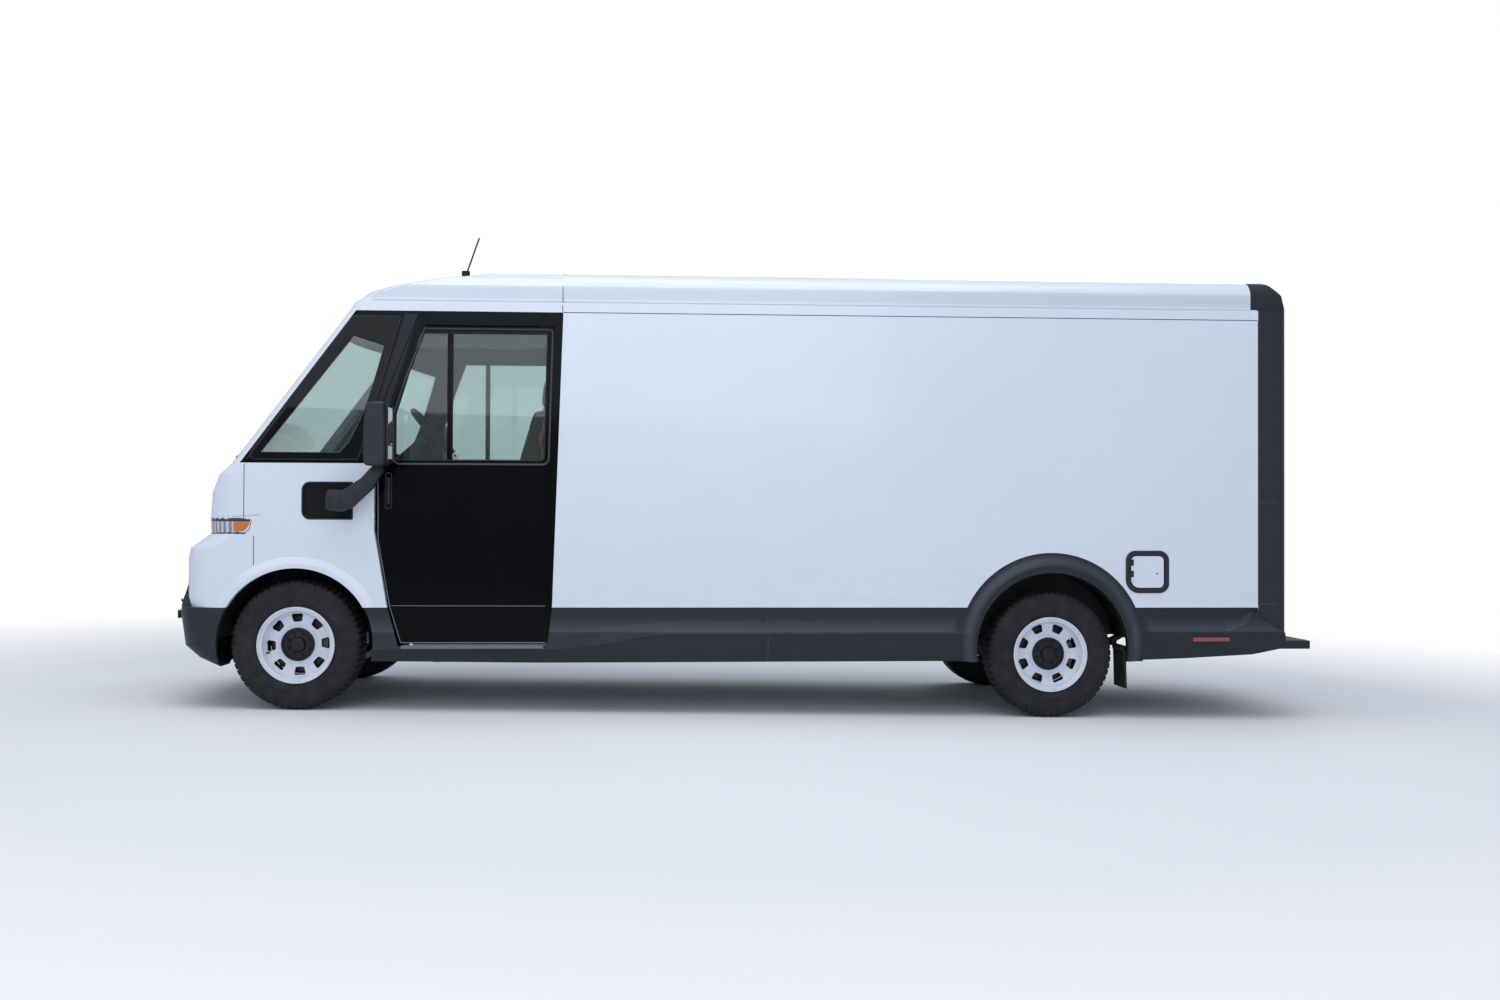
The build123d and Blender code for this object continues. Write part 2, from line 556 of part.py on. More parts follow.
# Floor: one deck from the firewall to the rear frame, with a step well inside each cab door
WELL_X = (640, 1490)
WELL_TOP = 430
FLOOR_LOW = FLOOR_TOP - FLOOR_WALL
FIREWALL_X = -230
with BuildPart() as floor:
    block(FRONT_ARCH_R + LINER_WALL, FRAME_BACK, -WALL_IN_Y, WALL_IN_Y, FLOOR_LOW, FLOOR_TOP)
    block(FIREWALL_X, FRONT_ARCH_R + LINER_WALL, -LINER_INNER_Y, LINER_INNER_Y, FLOOR_LOW, FLOOR_TOP)
    block(FIREWALL_X, FIREWALL_X + PANEL, -HALF_WIDTH + PANEL + 12, HALF_WIDTH - PANEL - 12, FLOOR_LOW, 1480)
    arch_cut(0, AXLE_Z, FRONT_ARCH_R + LINER_WALL, LINER_INNER_Y, HALF_WIDTH)
    arch_cut(REAR_AXLE_X, REAR_ARCH_Z, REAR_ARCH_R + LINER_WALL, WELL_IN_Y, HALF_WIDTH)
    for side in (-1, 1):
        well = sorted((side * WELL_IN_Y, side * WALL_IN_Y))
        block(*WELL_X, *well, WELL_TOP - 30, FLOOR_TOP)
        inside = sorted((side * (WELL_IN_Y + 14), side * (WALL_IN_Y + 1)))
        block(WELL_X[0] + 14, WELL_X[1] - 14, *inside, WELL_TOP, FLOOR_TOP + 1, mode=Mode.SUBTRACT)
save(floor, "floor")

DECK_FRONT = BULKHEAD_X + BULKHEAD_WALL + 4
with BuildPart() as load_deck:
    block(DECK_FRONT, FRAME_BACK - 4, -WELL_IN_Y + 8, WELL_IN_Y - 8, FLOOR_TOP, FLOOR_TOP + DECK_WALL)
save(load_deck, "load_deck")

with BuildPart() as wheel_houses:
    for x, z, radius, near in ((0, AXLE_Z, FRONT_ARCH_R, LINER_INNER_Y),
                               (REAR_AXLE_X, REAR_ARCH_Z, REAR_ARCH_R, WELL_IN_Y)):
        arch_cut(x, z, radius + LINER_WALL, near, HALF_WIDTH - PANEL, mode=Mode.ADD)
        arch_cut(x, z, radius, near + LINER_WALL, PAST, mode=Mode.SUBTRACT)
    block(-PAST, PAST, -PAST, PAST, -PAST, AXLE_Z + 40, mode=Mode.SUBTRACT)
    block(-170, 170, -LINER_INNER_Y - 20, LINER_INNER_Y + 20, 0, AXLE_Z + ARM_DROP + 50, mode=Mode.SUBTRACT)
save(wheel_houses, "wheel_houses")

# Running gear
RAIL_FRONT = -560
CROSS_MEMBERS = (520, 1500, 2600, 3600, WHEELBASE - 461, WHEELBASE + 539, BODY_REAR - 170)
with BuildPart() as chassis_frame:
    for side in (-1, 1):
        outer = sorted((side * RAIL_Y, side * (RAIL_Y + RAIL_WIDE)))
        inner = sorted((side * FRONT_RAIL_Y, side * (FRONT_RAIL_Y + RAIL_WIDE)))
        block(520, FRAME_BACK, *outer, RAIL_LOW, FLOOR_LOW)
        block(RAIL_FRONT, 600, *inner, RAIL_LOW, FLOOR_LOW)
    for x in CROSS_MEMBERS:
        block(x, x + 80, -RAIL_Y - RAIL_WIDE, RAIL_Y + RAIL_WIDE, FLOOR_LOW - 90, FLOOR_LOW)
    block(RAIL_FRONT - 60, RAIL_FRONT, -WHEEL_Y + 102, WHEEL_Y - 102, RAIL_LOW - 40, RAIL_LOW + 110)
    block(FRAME_BACK - 50, FRAME_BACK, -WHEEL_Y + 42, WHEEL_Y - 42, FRAME_FOOT, FRAME_FOOT + 90)
    for side in (-1, 1):
        hanger = sorted((side * RAIL_Y, side * (RAIL_Y + RAIL_WIDE)))
        block(FRAME_BACK - 50, FRAME_BACK, *hanger, FRAME_FOOT, FLOOR_LOW)
save(chassis_frame, "chassis_frame")

BATTERY_X = (640, WHEELBASE - 701)
BATTERY_LOW = 262
with BuildPart() as battery_pack:
    block(*BATTERY_X, -RAIL_Y + 4, RAIL_Y - 4, BATTERY_LOW, FLOOR_LOW - 92)
save(battery_pack, "battery_pack")

with BuildPart() as drive_unit:
    block(-210, 190, -260, 260, 300, FLOOR_LOW - 60)
    disc(0, -FRONT_RAIL_Y + 10, FRONT_RAIL_Y - 10, AXLE_Z, 60)
    disc(0, -STEER_Y + 90, STEER_Y - 90, AXLE_Z, 20)
save(drive_unit, "drive_unit")

BALL_HALF = 12
BALL_R = 22
ARM_ROOT_Y = FRONT_RAIL_Y + RAIL_WIDE
CRADLE_LOW = 215
with BuildPart() as front_suspension:
    block(-220, 220, -ARM_ROOT_Y, ARM_ROOT_Y, CRADLE_LOW, AXLE_Z - ARM_DROP + BALL_HALF)
    for side in (-1, 1):
        for lift in (-ARM_DROP, ARM_DROP):
            z = AXLE_Z + lift
            with BuildSketch(Plane.XY.offset(z - BALL_HALF)):
                Polygon((-130, side * ARM_ROOT_Y), (130, side * ARM_ROOT_Y), (18, side * STEER_Y),
                        (-18, side * STEER_Y))
            extrude(amount=2 * BALL_HALF)
            with Locations((0, side * STEER_Y, z)):
                Cylinder(BALL_R, 2 * BALL_HALF)
        tower = sorted((side * FRONT_RAIL_Y, side * ARM_ROOT_Y))
        for x in (-200, 140):
            block(x, x + 60, *tower, CRADLE_LOW, RAIL_LOW)
save(front_suspension, "front_suspension")

SPRING_Y = RAIL_Y + RAIL_WIDE / 2
SPRING_HALF_LONG = 620
SPRING_WIDE = 64
with BuildPart() as rear_suspension:
    disc(REAR_AXLE_X, -WHEEL_Y + 92, WHEEL_Y - 92, REAR_AXLE_Z, 45)
    for side in (-1, 1):
        disc(REAR_AXLE_X, side * (WHEEL_Y - 97), side * (WHEEL_Y - 72), REAR_AXLE_Z, 80)
        disc(REAR_AXLE_X, side * (WHEEL_Y - 77), side * (HUB_FACE_Y - 22), REAR_AXLE_Z, SPINDLE_R)
        with BuildSketch(Plane.XZ.offset(-side * SPRING_Y - SPRING_WIDE / 2)):
            with BuildLine():
                front, back = REAR_AXLE_X - SPRING_HALF_LONG, REAR_AXLE_X + SPRING_HALF_LONG
                eye_low, eye_top = RAIL_LOW - 30, RAIL_LOW
                low = REAR_AXLE_Z - 72
                ThreePointArc((front, eye_low), (REAR_AXLE_X, low), (back, eye_low))
                Line((back, eye_low), (back, eye_top))
                ThreePointArc((back, eye_top), (REAR_AXLE_X, low + 40), (front, eye_top))
                Line((front, eye_top), (front, eye_low))
            make_face()
        extrude(amount=SPRING_WIDE)
save(rear_suspension, "rear_suspension")

for label, side in (("knuckle_left", -1), ("knuckle_right", 1)):
    with BuildPart() as knuckle:
        upright = ARM_DROP - BALL_HALF - 3
        with Locations((0, side * STEER_Y, AXLE_Z)):
            Cylinder(26, 2 * upright)
        disc(0, side * (STEER_Y - 35), side * (STEER_Y + 18), AXLE_Z, 70)
        disc(0, side * STEER_Y, side * (HUB_FACE_Y - 22), AXLE_Z, SPINDLE_R)
        arm = sorted((side * (STEER_Y - 30), side * (STEER_Y + 5)))
        block(20, 150, *arm, AXLE_Z - 70, AXLE_Z - 45)
    save(knuckle, label)

# Wheels: a pressed steel dish with a ring of slots in a drop-centre rim, a hub and a brake disc behind
SLOT_COUNT = 8
SLOT_RING_R = 163
SLOT_LONG = 76
SLOT_WIDE = 50
SLOT_CORNER = 12
SLOT_SLANT = 75
SLOT_FROM = 26
SLOT_DEEP = 40
RIM_HALF = 112
LIP_HALF = TYRE_WIDE / 2
WHEEL_RIM = [(RIM_HALF + 8, RIM_FLANGE_R), (RIM_HALF - 4, RIM_FLANGE_R), (RIM_HALF - 6, RIM_BEAD_R - 1),
             (44, RIM_BEAD_R - 8), (14, 196), (-30, 196), (-50, RIM_BEAD_R - 8),
             (-RIM_HALF + 6, RIM_BEAD_R - 1), (-RIM_HALF + 4, RIM_FLANGE_R), (-RIM_HALF - 8, RIM_FLANGE_R)]
RIM_BACK = [(y, r - RIM_WALL) for y, r in reversed(WHEEL_RIM)]
DISH = [(-14, 40), (-14, 60), (56, 78), (56, 108), (44, 124), (38, 150), (42, 184), (58, 196), (88, 208),
        (78, 208), (50, 199), (34, 185), (29, 152), (34, 124), (46, 104), (46, 84), (-24, 66), (-24, 40)]
HUB_LONG = (-46, 56)
with BuildSketch() as slot:
    Trapezoid(SLOT_LONG, SLOT_WIDE, SLOT_SLANT)
    fillet(slot.vertices(), SLOT_CORNER)
for x, z, axle, turned in ((0, AXLE_Z, "front", 3), (REAR_AXLE_X, REAR_AXLE_Z, "rear", 22.5)):
    for side, name in ((-1, "left"), (1, "right")):
        wheel_plane = Plane(origin=(x, side * WHEEL_Y, z), x_dir=(0, side, 0), z_dir=(-side, 0, 0))
        spin = Axis((x, side * WHEEL_Y, z), (0, 1, 0))
        with BuildPart() as wheel:
            with BuildSketch(wheel_plane):
                Polygon(*WHEEL_RIM, *RIM_BACK)
            revolve(axis=spin)
            with BuildSketch(wheel_plane):
                Polygon(*DISH)
            revolve(axis=spin)
            face = Plane(origin=(x, side * (WHEEL_Y + SLOT_FROM), z), x_dir=(1, 0, 0), z_dir=(0, side, 0))
            with BuildSketch(face):
                with PolarLocations(SLOT_RING_R, SLOT_COUNT, start_angle=turned):
                    add(slot.sketch, rotation=90)
            extrude(amount=SLOT_DEEP, mode=Mode.SUBTRACT)
            disc(x, side * (WHEEL_Y + HUB_LONG[0]), side * (WHEEL_Y + HUB_LONG[1]), z, 66)
            disc(x, side * (WHEEL_Y - 34), side * (WHEEL_Y - 12), z, 168)
            disc(x, side * (WHEEL_Y - 60), side * (HUB_FACE_Y - 16), z, SPINDLE_R + SPINDLE_GAP,
                 mode=Mode.SUBTRACT)
        save(wheel, f"wheel_{axle}_{name}")
        tyre_outline = [(-LIP_HALF + 18, RIM_FLANGE_R - 3), (-RIM_HALF + 8, RIM_BEAD_R),
                        (RIM_HALF - 8, RIM_BEAD_R), (LIP_HALF - 18, RIM_FLANGE_R - 3), (LIP_HALF, 318),
                        (LIP_HALF - 6, 360),
                        (LIP_HALF - 24, 388), (LIP_HALF - 50, TYRE_R), (-LIP_HALF + 50, TYRE_R),
                        (-LIP_HALF + 24, 388), (-LIP_HALF + 6, 360), (-LIP_HALF, 318)]
        with BuildPart() as tyre:
            with BuildSketch(wheel_plane):
                Polygon(*tyre_outline)
            revolve(axis=spin)
        save(tyre, f"tyre_{axle}_{name}")

# Sliding cab doors and their glass
door_outline = DOOR_FRONT + [(DOOR_REAR[0][0] + DOOR_TUCK, DOOR_REAR[0][1]),
                             (DOOR_REAR[1][0] + DOOR_TUCK, DOOR_REAR[1][1])]
DIVIDER_X = 920
for name, side in (("left", -1), ("right", 1)):
    near, far = DOOR_OUT_Y - DOOR_THICK, DOOR_OUT_Y
    with BuildPart() as door:
        side_slab(door_outline, near, far)
        side_slab(DOOR_WINDOW, near - 1, far + 1, WINDOW_CORNERS, mode=Mode.SUBTRACT)
        side_slab([(DIVIDER_X - 14, 1500), (DIVIDER_X + 14, 1500), (DIVIDER_X + 14, 2330),
                   (DIVIDER_X - 14, 2330)], near + 18, far)
        if side > 0:
            mirror(about=Plane.XZ, mode=Mode.REPLACE)
    save(door, f"door_{name}")
    with BuildPart() as door_glass:
        side_slab(DOOR_WINDOW, near + 12, near + 18, WINDOW_CORNERS)
        if side > 0:
            mirror(about=Plane.XZ, mode=Mode.REPLACE)
    save(door_glass, f"door_glass_{name}")

# Charge door, hinged at its front edge, and the socket behind it
CHARGE_HINGE_R = 6
CHARGE_HINGE_LONG = 28
CHARGE_HINGE = (CHARGE_X[0] + CHARGE_HINGE_R, -HALF_WIDTH - 4)
CHARGE_SOCKET = (34, 22, 35)
CHARGE_LEVELS = (CHARGE_Z[0] + 38, CHARGE_Z[1] - 88)
socket_r, bore_r, bore_deep = CHARGE_SOCKET
with BuildPart() as charge_port:
    side_slab(CHARGE_HOLE, HALF_WIDTH - CHARGE_DEEP, HALF_WIDTH + 4, CHARGE_CORNERS)
    side_slab([(CHARGE_X[0] - 5, CHARGE_Z[0] - 5), (CHARGE_X[1] + 5, CHARGE_Z[0] - 5),
               (CHARGE_X[1] + 5, CHARGE_Z[1] + 5), (CHARGE_X[0] - 5, CHARGE_Z[1] + 5)],
              HALF_WIDTH - CHARGE_DEEP + 8, HALF_WIDTH + 5, CHARGE_DOOR_CORNERS, mode=Mode.SUBTRACT)
    mid = ((CHARGE_X[0] + CHARGE_X[1]) / 2, (CHARGE_Z[0] + CHARGE_Z[1]) / 2)
    socket_y = -HALF_WIDTH + 22
    disc(mid[0], -HALF_WIDTH + CHARGE_DEEP - 4, socket_y, mid[1], socket_r)
    disc(mid[0], socket_y + bore_deep, socket_y - 1, mid[1], bore_r, mode=Mode.SUBTRACT)
    for z in CHARGE_LEVELS:
        with Locations((*CHARGE_HINGE, z + CHARGE_HINGE_LONG * 1.7)):
            Cylinder(CHARGE_HINGE_R, CHARGE_HINGE_LONG)
        block(CHARGE_X[0] - 16, CHARGE_HINGE[0], -HALF_WIDTH - 10, -HALF_WIDTH - 3,
              z + CHARGE_HINGE_LONG * 1.2, z + CHARGE_HINGE_LONG * 2.2)
save(charge_port, "charge_port")

with BuildPart() as charge_door:
    side_slab([(CHARGE_X[0] + 2, CHARGE_Z[0]), (CHARGE_X[1], CHARGE_Z[0]), (CHARGE_X[1], CHARGE_Z[1]),
               (CHARGE_X[0] + 2, CHARGE_Z[1])], HALF_WIDTH - 10, HALF_WIDTH + 2, CHARGE_DOOR_CORNERS)
    for z in CHARGE_LEVELS:
        with Locations((*CHARGE_HINGE, z + CHARGE_HINGE_LONG / 2)):
            Cylinder(CHARGE_HINGE_R, CHARGE_HINGE_LONG)
        block(CHARGE_X[0] - 1, CHARGE_HINGE[0] + CHARGE_HINGE_R + 6, -HALF_WIDTH - 3, -HALF_WIDTH + 11,
              z + CHARGE_HINGE_LONG, z + CHARGE_HINGE_LONG * 2.4, mode=Mode.SUBTRACT)
save(charge_door, "charge_door")

# Mirrors on their arms, and their glass
MIRROR_Y = (HALF_WIDTH + 110, HALF_WIDTH + 300)
MIRROR_CASE = [(452, 1483), (446, 1638), (457, 1866), (592, 1866), (599, 1647), (594, 1483)]
MIRROR_CORNERS = (22, 0, 48, 12, 0, 22)
MIRROR_ARM = [(226, 1341), (215, 1277), (221, 1220), (303, 1210), (375, 1229), (498, 1352), (561, 1483),
              (482, 1483), (430, 1410), (314, 1339)]
MIRROR_BASE = [(226, 1341), (215, 1277), (221, 1220), (303, 1210), (340, 1240), (340, 1330)]
with BuildPart() as mirrors:
    side_slab(MIRROR_CASE, *MIRROR_Y, MIRROR_CORNERS)
    side_slab(MIRROR_ARM, MIRROR_Y[0] + 20, MIRROR_Y[0] + 70)
    side_slab(MIRROR_BASE, VENT_FACE_Y, MIRROR_Y[0] + 20)
    mirror(about=Plane.XZ)
save(mirrors, "mirrors")

with BuildPart() as mirror_glass:
    side_slab([(599, 1520), (605, 1520), (605, 1830), (599, 1830)], MIRROR_Y[0] + 14, MIRROR_Y[1] - 14)
    mirror(about=Plane.XZ)
save(mirror_glass, "mirror_glass")

FLAP_LOW = 116
FLAP_TOP = REAR_ARCH_Z + 14
with BuildPart() as mud_flaps:
    side_slab([(WHEELBASE + 469, FLAP_TOP), (WHEELBASE + 481, FLAP_TOP), (WHEELBASE + 489, FLAP_LOW),
               (WHEELBASE + 477, FLAP_LOW)], WHEEL_Y - 117, WHEEL_Y + 113)
    mirror(about=Plane.XZ)
save(mud_flaps, "mud_flaps")

# Inside the cab
SEAT_Y = HELM[1]
SEAT_WIDE = 500
with BuildPart() as driver_seat:
    near, far = -SEAT_Y - SEAT_WIDE / 2, -SEAT_Y + SEAT_WIDE / 2
    side_slab([(760, 1090), (770, 1200), (1210, 1175), (1300, 1180), (1300, 1090)], near, far)
    side_slab([(1200, 1170), (1303, 1531), (1390, 1860), (1470, 1850), (1440, 1600), (1310, 1100)], near, far)
    side_slab([(1430, 1850), (1462, 2058), (1512, 2065), (1500, 1960), (1462, 1840)], near + 130, far - 130)
    side_slab([(860, FLOOR_TOP), (900, 1090), (1220, 1090), (1260, FLOOR_TOP)], near + 60, far - 60)
save(driver_seat, "driver_seat")

helm_dir = (cos(radians(HELM_TILT)), 0, sin(radians(HELM_TILT)))
helm_plane = Plane(origin=HELM, x_dir=(0, 1, 0), z_dir=helm_dir)
COLUMN_LONG = 430
with BuildPart() as steering_column:
    with BuildSketch(helm_plane.offset(-35)):
        Circle(38)
    extrude(amount=-COLUMN_LONG)
save(steering_column, "steering_column")

DASH_FRONT_X = FIREWALL_X + PANEL
DASH = [(DASH_FRONT_X, 1480), (330, 1496), (392, 1450), (380, 1300), (250, 1180), (DASH_FRONT_X, 1120)]
with BuildPart() as dashboard:
    side_cut(DASH, mode=Mode.ADD)
    block(-PAST, PAST, -HALF_WIDTH + 80, HALF_WIDTH - 80, 0, PAST, mode=Mode.INTERSECT)
    add(steering_column.part, mode=Mode.SUBTRACT)
save(dashboard, "dashboard")

with BuildPart() as steering_wheel:
    with BuildSketch(Plane(origin=HELM, x_dir=helm_dir, z_dir=(0, 1, 0))):
        with Locations((0, HELM_R)):
            Circle(16)
    revolve(axis=Axis(HELM, helm_dir))
    with BuildSketch(helm_plane.offset(-30)):
        Circle(62)
    extrude(amount=32)
    with BuildSketch(helm_plane.offset(-14)):
        Rectangle(2 * HELM_R - 10, 38)
        with Locations((0, -HELM_R / 2)):
            Rectangle(38, HELM_R - 10)
    extrude(amount=16)
save(steering_wheel, "steering_wheel")

WIPER_SPANS = ((-660, -40), (40, 660))
SCREEN_SECTIONS = [row for row in CAB_SECTIONS if COWL_Z <= row[0] <= FLANGE_LOW]
with BuildPart() as wiper_near:
    plan_form(SCREEN_SECTIONS, -2)
with BuildPart() as wipers:
    plan_form(SCREEN_SECTIONS, -16)
    add(wiper_near.part, mode=Mode.SUBTRACT)
    with Locations(*[((COWL_X, (y0 + y1) / 2, COWL_Z + 50)) for y0, y1 in WIPER_SPANS]):
        Box(PAST / 10, WIPER_SPANS[0][1] - WIPER_SPANS[0][0], 16, mode=Mode.INTERSECT)
save(wipers, "wipers")

with BuildPart() as aerial:
    with Locations((963, -600, 2738)):
        Cylinder(26, 30)
    with Locations(Location((1006, -600, 2850), (0, 19, 0))):
        Cylinder(5, 250)
save(aerial, "aerial")
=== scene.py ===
import bpy
import bmesh
from math import cos, sin, tan, radians, pi, hypot, tau, exp
from mathutils import Matrix, Vector
from mathutils.bvhtree import BVHTree


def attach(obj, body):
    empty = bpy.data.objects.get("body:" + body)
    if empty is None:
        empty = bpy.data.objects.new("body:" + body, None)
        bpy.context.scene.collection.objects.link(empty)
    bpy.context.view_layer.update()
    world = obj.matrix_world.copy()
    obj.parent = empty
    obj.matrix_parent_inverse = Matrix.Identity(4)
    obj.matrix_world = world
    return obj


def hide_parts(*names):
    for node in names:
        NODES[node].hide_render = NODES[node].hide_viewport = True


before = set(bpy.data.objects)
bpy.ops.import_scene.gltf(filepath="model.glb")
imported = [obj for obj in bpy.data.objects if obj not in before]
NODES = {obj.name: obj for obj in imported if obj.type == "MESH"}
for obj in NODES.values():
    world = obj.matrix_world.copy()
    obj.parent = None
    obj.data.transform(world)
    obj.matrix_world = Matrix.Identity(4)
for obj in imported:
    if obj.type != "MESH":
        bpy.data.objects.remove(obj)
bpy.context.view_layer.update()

# The van's own level frame in mm, as its drawings use: x from the front axle, z from the road under it.
# It is raked nose down about the front axle, so BODY carries a point of it into the row frame in metres
# and VAN carries a point of the row frame back.
RAKE = radians(0.8)
MID_X = 2769.704
AXLE_Z = 396
BODY = (Matrix.Diagonal((0.001, 0.001, 0.001, 1)) @ Matrix.Translation((-MID_X, 0, AXLE_Z))
        @ Matrix.Rotation(-RAKE, 4, "Y") @ Matrix.Translation((0, 0, -AXLE_Z)))
VAN = BODY.inverted()
ROW_ORIGIN = (VAN @ Vector((0, 0, 0))) * 0.001
HALF = 1010
WHEELBASE = 4661
REAR_X = WHEELBASE * cos(RAKE)
REAR_Z = AXLE_Z - WHEELBASE * sin(RAKE)
AXLES = (("front", 0, AXLE_Z), ("rear", REAR_X, REAR_Z))
WHEEL_Y = 862
DOOR_Y = 975
BELT = 627
SIDES = ((-1, "left"), (1, "right"))


# Materials

class Paint:
    """A procedural material under construction, in the van's own coordinates."""

    def __init__(self, name):
        self.mat = bpy.data.materials.new(name)
        self.mat.use_nodes = True
        self.tree = self.mat.node_tree
        self.shader = self.tree.nodes["Principled BSDF"]
        coords = self.tree.nodes.new("ShaderNodeTexCoord")
        mapping = self.tree.nodes.new("ShaderNodeMapping")
        mapping.inputs["Rotation"].default_value = (0, RAKE, 0)
        mapping.inputs["Location"].default_value = ROW_ORIGIN
        self.link(coords.outputs["Object"], mapping.inputs["Vector"])
        self.place = mapping.outputs["Vector"]

    def link(self, a, b):
        self.tree.links.new(a, b)

    def node(self, kind, **values):
        made = self.tree.nodes.new(kind)
        for key, value in values.items():
            setattr(made, key, value)
        return made

    def put(self, socket, value):
        if hasattr(value, "is_linked"):
            self.link(value, socket)
        else:
            socket.default_value = value

    def math(self, operation, a, b=0.0):
        made = self.node("ShaderNodeMath", operation=operation)
        self.put(made.inputs[0], a)
        self.put(made.inputs[1], b)
        return made.outputs[0]

    def product(self, a, b):
        return self.math("MULTIPLY", a, b)

    def axes(self):
        parts = self.node("ShaderNodeSeparateXYZ")
        self.link(self.place, parts.inputs[0])
        return parts.outputs

    def noise(self, scale, detail=3.0, stretch=(1, 1, 1)):
        source = self.place
        if stretch != (1, 1, 1):
            pull = self.node("ShaderNodeMapping")
            pull.inputs["Scale"].default_value = stretch
            self.link(source, pull.inputs["Vector"])
            source = pull.outputs["Vector"]
        made = self.node("ShaderNodeTexNoise")
        made.inputs["Scale"].default_value = scale
        made.inputs["Detail"].default_value = detail
        self.link(source, made.inputs["Vector"])
        return made.outputs["Fac"]

    def span(self, value, low, high, to_low=0.0, to_high=1.0):
        made = self.node("ShaderNodeMapRange")
        made.clamp = True
        for socket, given in zip(made.inputs[:5], (value, low, high, to_low, to_high)):
            self.put(socket, given)
        return made.outputs[0]

    def mix(self, share, a, b):
        made = self.node("ShaderNodeMix", data_type="RGBA")
        self.put(made.inputs[0], share)
        self.put(made.inputs[6], a if hasattr(a, "is_linked") else (*a, 1))
        self.put(made.inputs[7], b if hasattr(b, "is_linked") else (*b, 1))
        return made.outputs[2]

    def reach(self, x, z):
        """The distance in metres from a line across the van at x, z in mm."""
        point_x, _, point_z = self.axes()
        dx = self.math("SUBTRACT", point_x, x / 1000)
        dz = self.math("SUBTRACT", point_z, z / 1000)
        return self.math("SQRT", self.math("ADD", self.product(dx, dx), self.product(dz, dz)))

    def inside(self, points, soft=0.002):
        """1 inside a convex outline of x, z points in mm, anticlockwise seen from the left, and 0 outside."""
        x, _, z = self.axes()
        share = None
        for (x0, z0), (x1, z1) in zip(points, points[1:] + points[:1]):
            long = hypot(x1 - x0, z1 - z0)
            nx, nz = -(z1 - z0) / long, (x1 - x0) / long
            depth = self.math("ADD", self.product(x, nx), self.product(z, nz))
            depth = self.math("SUBTRACT", depth, (x0 * nx + z0 * nz) / 1000)
            step = self.span(depth, -soft, soft)
            share = step if share is None else self.product(share, step)
        return share

    def base(self, colour, wander=0.03, scale=3.0):
        """Set the base colour, given or linked, and let it wander a little."""
        shade = self.span(self.noise(scale), 0.3, 0.7, 1 - wander, 1 + wander)
        both = self.node("ShaderNodeMix", data_type="RGBA", blend_type="MULTIPLY")
        both.inputs[0].default_value = 1.0
        self.put(both.inputs[6], colour if hasattr(colour, "is_linked") else (*colour, 1))
        self.link(shade, both.inputs[7])
        self.link(both.outputs[2], self.shader.inputs["Base Color"])

    def rough(self, low, high, scale=6.0):
        self.link(self.span(self.noise(scale), 0.3, 0.7, low, high), self.shader.inputs["Roughness"])

    def bump(self, height, strength, distance):
        made = self.node("ShaderNodeBump")
        made.inputs["Strength"].default_value = strength
        made.inputs["Distance"].default_value = distance
        self.link(height, made.inputs["Height"])
        self.link(made.outputs["Normal"], self.shader.inputs["Normal"])

    def fixed(self, **values):
        names = {"metal": "Metallic", "coat": "Coat Weight", "coat_rough": "Coat Roughness", "ior": "IOR",
                 "sheen": "Sheen Weight", "clear": "Transmission Weight", "specular": "Specular IOR Level"}
        for key, value in values.items():
            self.shader.inputs[names[key]].default_value = value


def plain(name, colour, rough, wander=0.03, grain=0, grain_scale=400.0, colour_scale=3.0, **fixed):
    """A material of one colour whose colour and roughness wander, with a grain where one is given."""
    p = Paint(name)
    p.base(colour, wander, colour_scale)
    p.rough(*rough)
    if grain:
        p.bump(p.noise(grain_scale, 4.0), grain, 0.001)
    p.fixed(**fixed)
    return p.mat


WHITE = (0.70, 0.76, 0.84)
CHARCOAL = (0.017, 0.019, 0.026)
BLACK = (0.002, 0.0025, 0.003)


def painted(name, colour, dusty=0.35, band=None):
    """Body paint under a road film that thickens towards the ground, with a band of painted shade if one is
    given.
    """
    p = Paint(name)
    _, _, z = p.axes()
    near_ground = p.span(z, 0.30, 1.1, dusty, 0.0)
    film = p.product(near_ground, p.span(p.noise(5.0, 6.0, (1, 1, 2.5)), 0.35, 0.75))
    shade = p.mix(film, colour, [c * 0.72 + 0.03 for c in colour])
    if band:
        low, high = band
        # Painted shade: the paint is darker in the set-in band under the roof's crown.
        hollow = p.product(p.span(z, low - 0.004, low + 0.004), p.span(z, high - 0.03, high, 1.0, 0.0))
        shade = p.mix(hollow, shade, [c * 0.86 for c in colour])
    p.base(shade, 0.012, 1.3)
    p.rough(0.245, 0.265)
    p.fixed(coat=0.5, coat_rough=0.06)
    return p.mat


